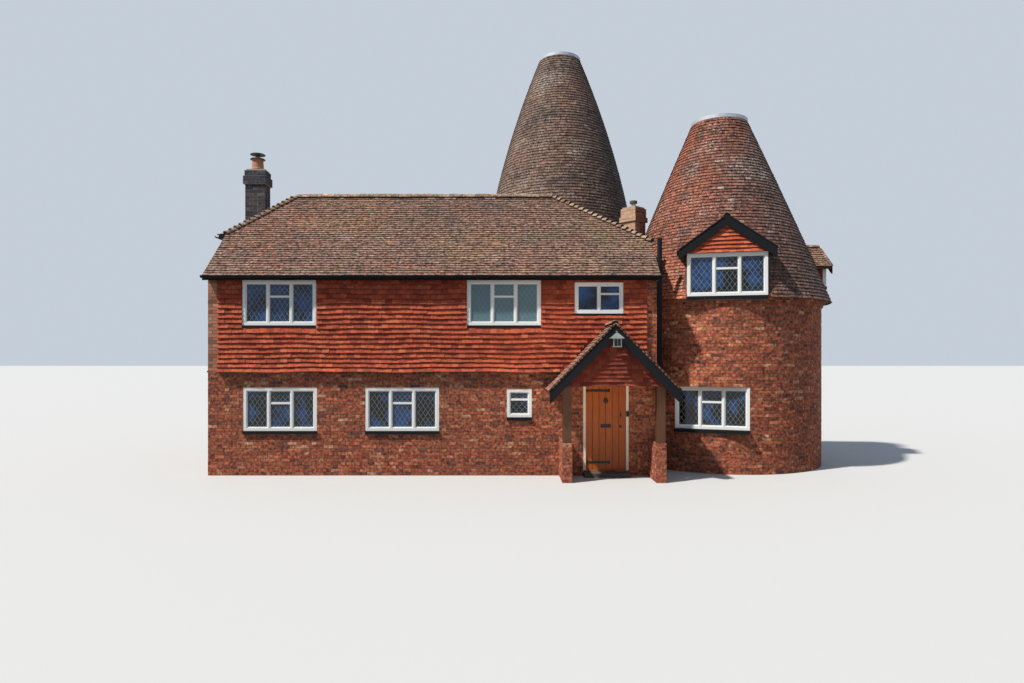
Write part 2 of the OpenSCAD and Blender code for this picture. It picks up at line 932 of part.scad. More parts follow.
module pipe_clip(centre, r, z) {
    translate([half_l, centre[1] - r - clip_rim, z])
        cube([centre[0] - half_l, 2 * (r + clip_rim), clip_h]);
    translate([centre[0], centre[1], z])
        cylinder(r = r + clip_rim, h = clip_h, $fn = 32);
}

module downpipes() {
    neck = [rain_pipe[0], rain_pipe[1], eaves_under - neck_drop];
    outlet = [roof_hx - 2 * downpipe_r, -gutter_y, gutter_z - gutter_r - outlet_drop];
    socket_r = downpipe_r + 6;
    color("black") {
        translate([rain_pipe[0], rain_pipe[1], 0])
            cylinder(r = downpipe_r, h = neck[2], $fn = 32);
        bar(neck, outlet, downpipe_r - 3);
        translate(neck)
            sphere(r = socket_r, $fn = 32);
        translate(outlet)
            sphere(r = socket_r - 8, $fn = 32);
        translate(outlet)
            cylinder(r = downpipe_r - 6, h = outlet_drop, $fn = 32);
        translate([vent_pipe[0], vent_pipe[1], 0])
            cylinder(r = vent_r, h = vent_top, $fn = 32);
        for (i = [1 : 3]) {
            pipe_clip(rain_pipe, downpipe_r, neck[2] * i / 4);
            pipe_clip(vent_pipe, vent_r, neck[2] * i / 4);
        }
    }
}

// Chimneys
left_stack = [-half_l - left_stack_out + left_stack_w / 2, 0];
right_stack = [half_l + right_stack_out, right_stack_y];

module left_shaft() {
    translate([-half_l, -left_stack_d / 2, breast_top])
        cube([left_stack_w - left_stack_out, left_stack_d, sky]);
    translate([-half_l - left_stack_out, -left_stack_d / 2, left_hip_z - roof_t])
        cube([left_stack_w, left_stack_d, sky]);
}

module right_shaft() {
    translate([right_stack[0], right_stack[1], right_stack_seat])
        rotate([0, 0, right_stack_turn])
            translate([-right_stack_w / 2, -right_stack_w / 2, 0])
                cube([right_stack_w, right_stack_w, sky]);
}

// Band, crown and mortar bed on top of a shaft
module stack_head(w, d, top, band, crown) {
    layers = [
        [band_out, top - flaunching_h - crown - band, band],
        [crown_out, top - flaunching_h - crown, crown],
        [-crown_out, top - flaunching_h, flaunching_h]
    ];
    for (layer = layers)
        translate([-w / 2 - layer[0], -d / 2 - layer[0], layer[1]])
            cube([w + 2 * layer[0], d + 2 * layer[0], layer[2]]);
}

module left_chimney() {
    head_foot = left_stack_top - flaunching_h - left_crown_h - left_band_h;
    color(brick) {
        intersection() {
            left_shaft();
            translate([-half_l - verge_overhang, -half_d, 0])
                cube([range_length, range_depth, head_foot]);
        }
        translate([-half_l + wall_t, -breast_w / 2, 0])
            cube([breast_d, breast_w, breast_top]);
        translate([left_stack[0], left_stack[1], 0])
            stack_head(left_stack_w, left_stack_d, left_stack_top, left_band_h, left_crown_h);
    }
}

module right_chimney() {
    head_foot = right_stack_top - flaunching_h - right_crown_h - right_band_h;
    color(brick) {
        intersection() {
            right_shaft();
            translate([-half_l, -half_d, 0])
                cube([2 * range_length, range_depth, head_foot]);
        }
        translate([right_stack[0], right_stack[1], 0])
            rotate([0, 0, right_stack_turn])
                stack_head(
                    right_stack_w, right_stack_w, right_stack_top, right_band_h, right_crown_h
                );
    }
}

module pot(r, h) {
    rotate_extrude()
        polygon([
            [r * 0.6, 0], [r, 0], [r, h * 0.1], [r * 0.93, h * 0.2], [r * 0.84, h * 0.9],
            [r * 0.88, h * 0.92], [r * 0.88, h], [r * 0.6, h]
        ]);
}

// Round plates on a short neck over a pot
module cowl(neck_r, r, plates) {
    cylinder(r = neck_r, h = (plates - 1) * plate_step + plate_h);
    for (i = [0 : plates - 1])
        translate([0, 0, i * plate_step])
            cylinder(r1 = r, r2 = r * 0.9, h = plate_h);
}

module chimney_pots() {
    translate([left_stack[0], left_stack[1], left_stack_top]) {
        color("orangered")
            pot(left_pot_r, left_pot_h);
        color("dimgray")
            translate([0, 0, left_pot_h])
                cowl(left_pot_r * 0.3, cowl_r, 2);
    }
    translate([right_stack[0], right_stack[1], right_stack_top]) {
        color("sandybrown")
            pot(right_pot_r, right_pot_h);
        color("dimgray")
            translate([0, 0, right_pot_h])
                cylinder(r = right_pot_r * 1.5, h = cover_h);
    }
}

// Kilns
module kiln_ring() {
    rotate_extrude($fn = kiln_fn)
        polygon([
            [kiln_r - kiln_wall_t, 0], [kiln_r, 0],
            [kiln_r, kiln_eaves_z - 2 * kiln_course_h],
            [kiln_r + kiln_corbel, kiln_eaves_z - 2 * kiln_course_h],
            [kiln_r + kiln_corbel, kiln_eaves_z - kiln_course_h],
            [kiln_r + 2 * kiln_corbel, kiln_eaves_z - kiln_course_h],
            [kiln_r + 2 * kiln_corbel, kiln_eaves_z],
            [kiln_r, kiln_eaves_z], [kiln_r, kiln_wall_top],
            [kiln_r - kiln_wall_t, kiln_wall_top]
        ]);
}

module sector(from, to) {
    reach = 2 * kiln_r;
    steps = 4;
    linear_extrude(sky)
        polygon(concat(
            [[0, 0]],
            [for (i = [0 : steps])
                let (a = from + (to - from) * i / steps - 90)
                    reach * [cos(a), sin(a)]]
        ));
}

module kiln_wall(axis, from, to) {
    color(brick)
        difference() {
            translate([axis[0], axis[1], 0])
                intersection() {
                    kiln_ring();
                    sector(from, to);
                }
            range_envelope();
            each_kiln("hole");
            each_kiln("sill_seat");
            dormer_room();
        }
}

module front_kiln_wall_front() {
    kiln_wall(front_kiln, -75, 25);
}

module front_kiln_wall_side() {
    kiln_wall(front_kiln, 25, 110);
}

module front_kiln_wall_back() {
    kiln_wall(front_kiln, 110, 255);
}

module rear_kiln_wall_left() {
    kiln_wall(rear_kiln, 210, 330);
}

module rear_kiln_wall_back() {
    kiln_wall(rear_kiln, 120, 210);
}

module rear_kiln_wall_right() {
    kiln_wall(rear_kiln, 30, 120);
}

module cone_profile(top_r, bulge, top_z, inset) {
    height = top_z - kiln_eaves_z;
    polygon(concat(
        [[0, top_z], [0, kiln_eaves_z]],
        [for (i = [cone_steps : -1 : 0])
            [cone_r(top_r, bulge, i / cone_steps) - inset, top_z - height * i / cone_steps]]
    ));
}

module cone_solid(top_r, bulge, top_z) {
    rotate_extrude($fn = kiln_fn)
        cone_profile(top_r, bulge, top_z, 0);
}

module cone_shell(top_r, bulge, top_z) {
    height = top_z - kiln_eaves_z;
    rotate_extrude($fn = kiln_fn)
        polygon(concat(
            [for (i = [0 : cone_steps])
                [cone_r(top_r, bulge, i / cone_steps), top_z - height * i / cone_steps]],
            [for (i = [cone_steps : -1 : 0])
                [
                    cone_r(top_r, bulge, i / cone_steps) - kiln_roof_t,
                    top_z - height * i / cone_steps
                ]]
        ));
}

module front_kiln_roof() {
    color(tile)
        difference() {
            translate([front_kiln[0], front_kiln[1], 0])
                cone_shell(front_cap_r, front_bulge, front_cone_top);
            range_envelope();
            right_shaft();
            dormer_room();
        }
}

module rear_kiln_roof() {
    color(tile)
        difference() {
            translate([rear_kiln[0], rear_kiln[1], 0])
                cone_shell(rear_cap_r, rear_bulge, rear_cone_top);
            range_envelope();
        }
}

module kiln_cap(top_r) {
    rotate_extrude($fn = kiln_fn)
        polygon([
            [0, 0], [top_r + cap_lip, 0], [top_r + cap_lip, cap_rim_h],
            [top_r * 0.85, cap_rim_h + 20], [top_r * 0.5, cap_h * 0.9], [0, cap_h]
        ]);
}

module kiln_caps() {
    color("lightgray") {
        translate([front_kiln[0], front_kiln[1], front_cone_top])
            kiln_cap(front_cap_r);
        translate([rear_kiln[0], rear_kiln[1], rear_cone_top])
            kiln_cap(rear_cap_r);
    }
}

// Dormers on the front kiln, each described by one list:
// face radius, half width, sill height, window height, pitch, half span, rise, board width
front_dormer = [
    dormer_face_r, dormer_half, dormer_sill_z, dormer_window_h, dormer_pitch, dormer_span,
    dormer_rise, dormer_barge_w
];
side_dormer = [
    side_dormer_face_r, side_dormer_half, side_dormer_sill_z, side_dormer_window_h,
    side_dormer_pitch, side_dormer_span, side_dormer_rise, side_dormer_barge_w
];

// Where the cheeks and roofs of the dormers end, as shares of the kiln's radius
cheek_reach = 0.6;
dormer_roof_reach = 0.5;

module each_dormer_place() {
    on_kiln(front_kiln, -dormer_turn)
        children(0);
    on_kiln(front_kiln, side_dormer_turn)
        children(1);
}

// Height of the roof's underside over the wall face, at a distance from the ridge line
function dormer_under(d, x) =
    d[2] + d[3] + d[6] + (d[1] - x) * tan(d[4]);

module dormer_gable_outline(d, lift, half) {
    polygon([
        [-half, d[2]], [-half, dormer_under(d, half) + lift],
        [0, dormer_under(d, 0) + lift],
        [half, dormer_under(d, half) + lift], [half, d[2]]
    ]);
}

// The open space behind a dormer's window, with the seat of its sill beam
module dormer_space(d) {
    rotate([90, 0, 0])
        linear_extrude(d[0] + kiln_r)
            dormer_gable_outline(d, -cheek_t, d[1] - cheek_t);
    translate([-d[1], -d[0] - kiln_wall_t, d[2]])
        cube([2 * d[1], kiln_wall_t + frame_d, d[3]]);
    translate([-d[1], -d[0] - kiln_wall_t, d[2] - sill_beam_h])
        cube([2 * d[1], kiln_wall_t + sill_beam_d, sill_beam_h]);
}

module dormer_room() {
    each_dormer_place() {
        dormer_space(front_dormer);
        dormer_space(side_dormer);
    }
}

module dormer_wall(d) {
    head = d[2] + d[3];
    depth = d[0] - frame_d - kiln_r * cheek_reach;
    for (side = [-1, 1])
        translate([side * (d[1] - cheek_t / 2) - cheek_t / 2, -d[0] + frame_d, d[2]])
            cube([cheek_t, depth, d[3] + d[6]]);
    translate([0, -d[0] + cheek_t, 0])
        rotate([90, 0, 0])
            linear_extrude(cheek_t)
                polygon([
                    [-d[1], head], [-d[1], head + d[6]], [0, dormer_under(d, 0) - seat_gap],
                    [d[1], head + d[6]], [d[1], head]
                ]);
}

module dormer_walls() {
    color(hung)
        difference() {
            each_dormer_place() {
                dormer_wall(front_dormer);
                dormer_wall(side_dormer);
            }
            front_cone();
            translate([front_kiln[0], front_kiln[1], 0])
                cylinder(r = kiln_r + 2 * kiln_corbel, h = kiln_eaves_z, $fn = kiln_fn);
        }
}

module front_cone() {
    translate([front_kiln[0], front_kiln[1], 0])
        cone_solid(front_cap_r, front_bulge, front_cone_top);
}

module dormer_roof(d) {
    depth = d[0] + dormer_verge - kiln_r * dormer_roof_reach;
    translate([0, -d[0] - dormer_verge + depth, 0])
        rotate([90, 0, 0])
            linear_extrude(depth)
                polygon([
                    [-d[5], dormer_under(d, d[5])], [-d[5], dormer_under(d, d[5]) + dormer_roof_t],
                    [0, dormer_under(d, 0) + dormer_roof_t],
                    [d[5], dormer_under(d, d[5]) + dormer_roof_t], [d[5], dormer_under(d, d[5])],
                    [0, dormer_under(d, 0)]
                ]);
}

module dormer_roofs() {
    color(tile)
        difference() {
            each_dormer_place() {
                dormer_roof(front_dormer);
                dormer_roof(side_dormer);
            }
            front_cone();
        }
}

module barge_pair(apex_z, half, pitch, w, t) {
    drop = w / cos(pitch);
    rotate([90, 0, 0])
        linear_extrude(t)
            polygon([
                [-half, apex_z - half * tan(pitch)], [0, apex_z], [half, apex_z - half * tan(pitch)],
                [half, apex_z - half * tan(pitch) - drop], [0, apex_z - drop],
                [-half, apex_z - half * tan(pitch) - drop]
            ]);
}

module dormer_barge(d) {
    translate([0, -d[0] - dormer_verge, 0])
        barge_pair(dormer_under(d, 0) + dormer_roof_t, d[5], d[4], d[7], barge_t);
}

module dormer_bargeboards() {
    color(black_paint)
        each_dormer_place() {
            dormer_barge(front_dormer);
            dormer_barge(side_dormer);
        }
}

module porch_volume(lift) {
    foot = porch_ridge_z - porch_span * tan(porch_pitch);
    translate([porch_x, 0, 0])
        rotate([90, 0, 0])
            linear_extrude(-porch_front_y)
                polygon([
                    [-porch_span, 0], [-porch_span, foot + lift], [0, porch_ridge_z + lift],
                    [porch_span, foot + lift], [porch_span, 0]
                ]);
}

module porch_roof() {
    foot = porch_ridge_z - porch_span * tan(porch_pitch);
    color(tile)
        translate([porch_x, -half_d, 0])
            rotate([90, 0, 0])
                linear_extrude(-porch_front_y - half_d)
                    polygon([
                        [-porch_span, foot - porch_roof_t], [-porch_span, foot],
                        [0, porch_ridge_z], [porch_span, foot],
                        [porch_span, foot - porch_roof_t], [0, porch_ridge_z - porch_roof_t]
                    ]);
}

module porch_gable() {
    under = porch_ridge_z - porch_roof_t;
    half = (under - porch_gable_z) / tan(porch_pitch);
    color(hung)
        translate([porch_x, -half_d - porch_depth + porch_gable_t, 0])
            rotate([90, 0, 0])
                linear_extrude(porch_gable_t)
                    polygon([
                        [-half, porch_gable_z], [0, under - seat_gap], [half, porch_gable_z]
                    ]);
}

module porch_frame() {
    back = -half_d;
    front = -half_d - porch_depth + porch_gable_t;
    color("saddlebrown") {
        for (side = [-1, 1]) {
            translate([
                porch_x + side * porch_post_half - post_w / 2, porch_post_y - post_w / 2, dwarf_h
            ])
                cube([post_w, post_w, plate_top - plate_w - dwarf_h]);
            translate([
                porch_x + side * porch_post_half - plate_w / 2, front, plate_top - plate_w
            ])
                cube([plate_w, back - front, plate_w]);
        }
        translate([porch_x - porch_post_half, front, plate_top - plate_w])
            cube([2 * porch_post_half, plate_w, plate_w]);
    }
}

module porch_dwarf_walls() {
    color(brick)
        for (side = [-1, 1])
            translate([
                porch_x + side * porch_post_half - dwarf_t / 2, porch_post_y - dwarf_t / 2, 0
            ])
                cube([dwarf_t, -half_d - porch_post_y + dwarf_t / 2, dwarf_h]);
}

module porch_bargeboards() {
    color(black_paint)
        translate([porch_x, porch_front_y, 0])
            barge_pair(porch_ridge_z, porch_span, porch_pitch, porch_barge_w, barge_t);
}

module porch_lantern() {
    body = lantern_w * 0.62;
    arm_z = porch_ridge_z - porch_barge_w / cos(porch_pitch) / 2 - 40;
    face = porch_front_y - barge_t;
    color("gray")
        translate([porch_x, face - lantern_w * 0.62, arm_z - lantern_h]) {
            translate([-body / 2, -body / 2, 0])
                cube([body, body, lantern_h * 0.55]);
            translate([0, 0, lantern_h * 0.55])
                rotate([0, 0, 45])
                    cylinder(
                        r1 = lantern_w / sqrt(2), r2 = lantern_w * 0.12, h = lantern_h * 0.35, $fn = 4
                    );
            translate([0, 0, lantern_h * 0.9])
                cylinder(r = 14, h = lantern_h * 0.1 + 8, $fn = 24);
            translate([-8, 0, lantern_h])
                cube([16, lantern_w * 0.62, 16]);
        }
}

// Front door
module door_frame() {
    outer_h = doorway_top - floor_z;
    color(white_paint)
        translate([door_x - doorway_half, -half_d, floor_z])
            difference() {
                cube([2 * doorway_half, door_frame_d, outer_h]);
                translate([door_frame_w, -cut, -cut])
                    cube([
                        2 * (doorway_half - door_frame_w), door_frame_d + 2 * cut,
                        outer_h - door_frame_w + cut
                    ]);
            }
    color("black")
        for (z = hinge_heights)
            translate([hinge_x, hinge_y, z - hinge_h / 2])
                cylinder(r = hinge_r, h = hinge_h, $fn = 32);
}

// Heights of the three hinge barrels
hinge_heights = [
    door_bottom + strap_low, door_bottom + door_h / 2, door_bottom + door_h - strap_high
];

module front_door() {
    color("chocolate")
        translate([door_left, door_face_y, door_bottom])
            cube([door_w, door_t, door_h]);
}

module strap(z) {
    translate([door_left + iron_t, door_face_y - iron_t, z - strap_w / 2])
        cube([strap_l - strap_w / 2, iron_t, strap_w]);
    translate([door_left + iron_t + strap_l - strap_w / 2, door_face_y, z])
        rotate([90, 0, 0])
            cylinder(r = strap_w * 0.7, h = iron_t, $fn = 32);
}

module door_ironwork() {
    color("black") {
        strap(door_bottom + strap_low);
        strap(door_bottom + door_h - strap_high);
        translate([door_x - letter_w / 2, door_face_y - iron_t, door_bottom + letter_z])
            cube([letter_w, iron_t, letter_h]);
        translate([door_x, door_face_y, door_bottom + knocker_z + 0.6 * knocker_r])
            rotate([90, 0, 0])
                cylinder(r = 0.94 * knocker_r, h = iron_t, $fn = 32);
        translate([door_x, door_face_y - iron_t, door_bottom + knocker_z])
            rotate([90, 0, 0])
                rotate_extrude($fn = 48)
                    translate([knocker_r, knocker_r / 5])
                        circle(r = knocker_r / 5, $fn = 24);
        translate([door_left + door_w - 4 * knob_r, door_face_y, door_bottom + knob_z])
            rotate([90, 0, 0])
                cylinder(r = knob_r, h = knob_r, $fn = 32);
        translate([door_left + door_w - 4 * knob_r, door_face_y, door_bottom + rose_z])
            rotate([90, 0, 0])
                cylinder(r = rose_r, h = rose_r, $fn = 32);
    }
}

module doorstep() {
    color("slategray")
        translate([door_x - doorway_half, -half_d - step_d, 0])
            cube([2 * doorway_half, step_d, step_h]);
}

// Windows
module window_frames_lower() {
    color(white_paint) {
        each_lower("frame");
        each_kiln("frame");
    }
}

module window_frames_upper() {
    color(white_paint) {
        each_upper("frame", hung_t);
        each_dormer("frame");
    }
}

module window_glass() {
    color("lightblue") {
        each_lower("panes");
        each_kiln("panes");
        each_upper("panes", hung_t);
        each_dormer("panes");
    }
}

module dormer_sill_beam(d) {
    translate([-d[1], -d[0] - sill_beam_out, d[2] - sill_beam_h])
        cube([2 * d[1], sill_beam_out + sill_beam_d, sill_beam_h]);
}

module window_sills() {
    color("dimgray") {
        each_lower("sill");
        each_kiln("sill");
        each_upper("apron", hung_t);
        each_dormer_place() {
            dormer_sill_beam(front_dormer);
            dormer_sill_beam(side_dormer);
        }
    }
}

ground_floor();
upper_floor();
front_wall_left();
front_wall_right();
front_wall_door_head();
front_wall_upper();
back_wall();
left_end_wall();
right_end_wall();
tile_hanging();
roof_front_slope();
roof_back_slope();
roof_half_hips();
ridge_and_hip_tiles();
gutters();
downpipes();
left_chimney();
right_chimney();
chimney_pots();
front_kiln_wall_front();
front_kiln_wall_side();
front_kiln_wall_back();
front_kiln_roof();
rear_kiln_wall_left();
rear_kiln_wall_back();
rear_kiln_wall_right();
rear_kiln_roof();
kiln_caps();
dormer_walls();
dormer_roofs();
dormer_bargeboards();
porch_dwarf_walls();
porch_frame();
porch_gable();
porch_roof();
porch_bargeboards();
porch_lantern();
door_frame();
front_door();
door_ironwork();
doorstep();
window_frames_lower();
window_frames_upper();
window_glass();
window_sills();
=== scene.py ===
import math

import bpy
import numpy as np
from mathutils import Matrix, Vector


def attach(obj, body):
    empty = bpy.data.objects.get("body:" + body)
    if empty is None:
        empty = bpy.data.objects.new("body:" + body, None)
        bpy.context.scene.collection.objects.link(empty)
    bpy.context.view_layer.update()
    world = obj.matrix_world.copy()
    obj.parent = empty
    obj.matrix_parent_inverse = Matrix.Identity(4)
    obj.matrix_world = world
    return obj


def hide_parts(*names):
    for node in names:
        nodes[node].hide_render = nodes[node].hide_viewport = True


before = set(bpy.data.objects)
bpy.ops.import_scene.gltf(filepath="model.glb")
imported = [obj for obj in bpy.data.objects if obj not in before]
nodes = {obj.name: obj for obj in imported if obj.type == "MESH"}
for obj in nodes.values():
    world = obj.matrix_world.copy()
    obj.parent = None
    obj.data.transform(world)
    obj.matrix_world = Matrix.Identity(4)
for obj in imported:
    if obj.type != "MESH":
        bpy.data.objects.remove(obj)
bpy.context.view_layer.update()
rng = np.random.default_rng(433)
T = math.tan
R = math.radians

# ---------------------------------------------------------------- sizes, in metres, as in the source
HALF_L, HALF_D = 5.325, 2.6
WALL_H, FLOOR_Z, STOREY_Z = 4.77, 0.12, 2.45
PITCH, ROOF_T, EAVES, VERGE = R(42), 0.13, 0.17, 0.06
ROOF_HX, ROOF_HY = HALF_L + VERGE, HALF_D + EAVES
RIDGE_Z = WALL_H + HALF_D * T(PITCH) + ROOF_T
LEFT_HIP_Z, RIGHT_HIP_Z = 5.95, 5.72
RIDGE_LEFT, RIDGE_RIGHT = -HALF_L + 1.3, HALF_L - 2.33
LEFT_HIP_Y, RIGHT_HIP_Y = (HALF_D - (z - ROOF_T - WALL_H) / T(PITCH) for z in (LEFT_HIP_Z, RIGHT_HIP_Z))
HIPS = (  # side, end of the ridge, half width and height of the half-hip's foot
    (-1, RIDGE_LEFT, LEFT_HIP_Y, LEFT_HIP_Z),
    (1, RIDGE_RIGHT, RIGHT_HIP_Y, RIGHT_HIP_Z),
)
HIP_EAVES_OUT = 0.2
HUNG_T, HUNG_KICK, HUNG_KICK_H, QUOIN_W = 0.05, 0.06, 0.3, 0.24
KILN_R, KILN_EAVES_Z, KILN_EAVES_R = 2.57, 4.25, 2.8
KILN_CORBEL, KILN_COURSE = 0.04, 0.075
FRONT_KILN = (HALF_L + KILN_R - 0.28, -HALF_D + 2.65)
REAR_KILN = (HALF_L - 1.805, HALF_D + KILN_R - 0.62)
CONES = {  # axis, radius of the cap, top, bulge
    "front": (FRONT_KILN, 0.74, 9.2, 0.025),
    "rear": (REAR_KILN, 0.69, 12.9, 0.36),
}
DORMERS = {
    "front": dict(turn=-13, face=KILN_R + 0.08, half=0.925, sill=4.275, win=1.03, rise=0.145, pitch=R(35.5),
                  span=1.12, lights=3),
    "side": dict(turn=90, face=KILN_R + 0.105, half=0.62, sill=4.71, win=0.5, rise=0.06, pitch=R(39),
                 span=0.76, lights=2),
}
DORMER_T, DORMER_VERGE, BARGE_T = 0.09, 0.07, 0.035
PORCH_X, PORCH_DEPTH, PORCH_POST = HALF_L - 1.155, 1.05, 1.05
PORCH_SPAN, PORCH_RIDGE, PORCH_PITCH, PORCH_T = 1.45, 3.56, R(45.5), 0.11
PORCH_FRONT = -HALF_D - PORCH_DEPTH - 0.11
PORCH_GABLE_Z, PORCH_GABLE_Y = 2.165, -HALF_D - PORCH_DEPTH
DWARF_H, DWARF_T, POST_W = 0.88, 0.215, 0.19
POST_Y = -HALF_D - PORCH_DEPTH + 0.06 + POST_W / 2
LANTERN_W, LANTERN_H, LANTERN_DROP = 0.186, 0.34, 0.04
BARGE_H = 0.225
DOOR_X, DOOR_W, DOOR_H, DOOR_T = HALF_L - 1.205, 0.94, 1.98, 0.045
DOOR_GAP, DOOR_FRAME = 0.008, 0.062
DOOR_Z, DOOR_Y = FLOOR_Z + DOOR_GAP, -HALF_D + 0.04
DOOR_LEFT, DOOR_RIGHT = DOOR_X - DOOR_W / 2, DOOR_X + DOOR_W / 2
DOORWAY_HALF, DOORWAY_TOP = DOOR_W / 2 + DOOR_GAP + DOOR_FRAME, DOOR_Z + DOOR_H + DOOR_GAP + DOOR_FRAME
STACK_L_W, STACK_SEAT = 0.535, 5.2
STACK_L = dict(x=-HALF_L - 0.06 + STACK_L_W / 2, y=0.0, w=STACK_L_W, d=0.38, top=7.96, turn=0.0,
               band=0.225, crown=0.155, pot=0.3)
STACK_R = dict(x=HALF_L + 0.03, y=0.65, w=0.47, d=0.47, top=7.08, turn=43.0, band=0.14, crown=0.25, pot=0.12)
BAND_OUT, CROWN_OUT, FLAUNCH = 0.045, 0.015, 0.04
WIN_W, WIN_UP_H, WIN_LOW_H, HEAD_UP, HEAD_LOW = 1.75, 1.07, 1.03, 4.63, 2.085
TWO_W, TWO_H, ONE_W, ONE_H = 1.15, 0.74, 0.595, 0.67
UP_SILL, LOW_SILL = HEAD_UP - WIN_UP_H, HEAD_LOW - WIN_LOW_H
TWO_SILL, ONE_SILL = HEAD_UP - 0.05 - TWO_H, HEAD_LOW - 0.035 - ONE_H
BAY_L, BAY_M, BAY_R, BAY_TWO, BAY_ONE, BAY_END = 1.705, 4.605, 3.625, 1.375, 3.265, 1.3
FRAME_W, FRAME_D, MULLION, CASEMENT, TRANSOM = 0.07, 0.09, 0.042, 0.024, 0.34
SILL_H, APRON_H = 0.07, 0.055
KILN_WINDOWS = {"front": -21, "rear": 160}
KILN_FRAME_R = math.sqrt(KILN_R ** 2 - WIN_W ** 2 / 4)

# ---------------------------------------------------------------- sizes of what the scene adds
TILE_W, TILE_T, HUNG_TILE_T = 0.165, 0.019, 0.042
ROOF_GAUGE, HUNG_GAUGE, GABLE_GAUGE = 0.1, 0.116, 0.096
CONE_GAUGE = {"front": 0.093, "rear": 0.099}
ROOF_LAP, CONE_LAP, HUNG_LAP, LEAST_LAP = 1.5, 1.45, 1.4, 0.6
TILE_GAP, CONE_TILE_GAP, LEAST_TILE, LEAST_STRIP = 0.003, 0.004, 0.03, 0.02
TAIL_OUT, CONE_TAIL_OUT, VERGE_LIP = 0.04, 0.03, 0.02
HUNG_SUNK, HUNG_WAVE, GABLE_WAVE, GABLE_TOP_GAP = 0.004, 0.01, 0.003, 0.06
DORMER_GABLE_OUT, PORCH_GABLE_OUT = 0.026, 0.004
TILE_TURN, TILE_SWELL, TILE_SLIP, TILE_RISE = 0.007, 0.08, 0.0022, 0.0012
# faces of a tile that get painted shade: under, top, tail, right, head, left
TILE_SHADE_FACES, TAIL_SHADE_FACES = (1, 0, 1, 1, 1, 1), (1, 0, 1, 0, 1, 0)
BRICK_L, BRICK_H, BRICK_D, JOINT = 0.218, 0.069, 0.104, 0.011
COURSE = BRICK_H + JOINT
PROUD, SUNK, KILN_SUNK, UNEVEN, RAGGED = 0.005, 0.004, 0.012, 0.0012, 0.0008
LEAST_BRICK, LEAST_QUOIN, LEAST_COURSE = 0.02, 0.015, 0.012
END_SHIFT, PORCH_SHIFT = 0.11, 0.05
COVER_T, SMALL_COVER_T, COVER_GAP = 0.016, 0.014, 0.008
RIDGE_R, RIDGE_STEP, RIDGE_SEAT, BEDDING_SHARE = 0.125, 0.36, 0.045, 0.55
BONNET_R0, BONNET_R1, BONNET_L, BONNET_STEP, BONNET_TIP, BONNET_SEAT = 0.12, 0.08, 0.2, 0.155, 0.19, 0.024
HIP_TILES_OUT, HIP_GUTTER_R, HIP_GUTTER_T = 0.06, 0.055, 0.004
LEAD_W, LEAD_HALF_T, DIAMOND_W, DIAMOND_H = 0.0065, 0.007, 0.12, 0.185
PLANKS, PLANK_GAP, PLANK_T, LEDGES, LEDGE_H = 6, 0.006, 0.022, (0.12, 0.9, 1.72), 0.14
STRAPS, STUDS, STUD_STEP, STUD_HALF = (0.18, DOOR_H - 0.095), 5, 0.09, 0.009
CURTAINED_WINDOW, CLEAR_WINDOW = 1, 2


# ---------------------------------------------------------------- meshes
def add_object(name, data):
    obj = bpy.data.objects.new(name, data)
    bpy.context.scene.collection.objects.link(obj)
    return obj


def add_mesh(name, verts, faces, layers, material, body):
    """A mesh that rides with a body; each named layer has one value a face."""
    mesh = bpy.data.meshes.new(name)
    mesh.from_pydata(verts, [], faces)
    for label, values in layers.items():
        layer = mesh.attributes.new(label, "FLOAT", "FACE")
        layer.data.foreach_set("value", np.asarray(values, np.float32))
    mesh.update()
    mesh.materials.append(material)
    obj = add_object(name, mesh)
    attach(obj, body)
    return obj


class Pile:
    """Six-sided blocks gathered into one mesh; every face keeps its block's two random tones."""

    def __init__(self):
        self.corners, self.tone, self.tint = [], [], []

    def add(self, corners, tone=None):
        corners = np.asarray(corners, float).reshape(-1, 8, 3)
        n = len(corners)
        self.corners.append(corners)
        self.tone.append(rng.random(n) if tone is None else np.broadcast_to(tone, n))
        self.tint.append(rng.random(n))

    def box(self, lo, hi, matrix=None, tone=None):
        (a, b, c), (d, e, f) = lo, hi
        pts = [(a, b, c), (d, b, c), (d, e, c), (a, e, c), (a, b, f), (d, b, f), (d, e, f), (a, e, f)]
        if matrix is not None:
            pts = [tuple(matrix @ Vector(p)) for p in pts]
        self.add([pts], tone)

    def build(self, name, material, body="house", edge=(0, 0, 0, 0, 0, 0)):
        c = np.concatenate(self.corners)
        n = len(c)
        quad = np.array([(0, 3, 2, 1), (4, 5, 6, 7), (0, 1, 5, 4), (1, 2, 6, 5), (2, 3, 7, 6), (3, 0, 4, 7)])
        faces = (quad[None] + 8 * np.arange(n)[:, None, None]).reshape(-1, 4)
        tone, tint = (np.repeat(np.concatenate(values), 6) for values in (self.tone, self.tint))
        # the edge layer flags the faces that the clay materials darken as painted shade
        layers = {"tone": tone, "tint": tint, "edge": np.tile(edge, n)}
        return add_mesh(name, c.reshape(-1, 3).tolist(), faces.tolist(), layers, material, body)


class Loose:
    """Free faces gathered into one mesh, with two random tones for each added form."""

    def __init__(self):
        self.verts, self.faces, self.tone, self.tint = [], [], [], []

    def add(self, verts, faces):
        base = len(self.verts)
        self.verts += [tuple(v) for v in verts]
        self.faces += [tuple(i + base for i in f) for f in faces]
        for values in (self.tone, self.tint):
            values += [rng.random()] * len(faces)

    def build(self, name, material):
        layers = {"tone": self.tone, "tint": self.tint}
        return add_mesh(name, self.verts, self.faces, layers, material, "house")


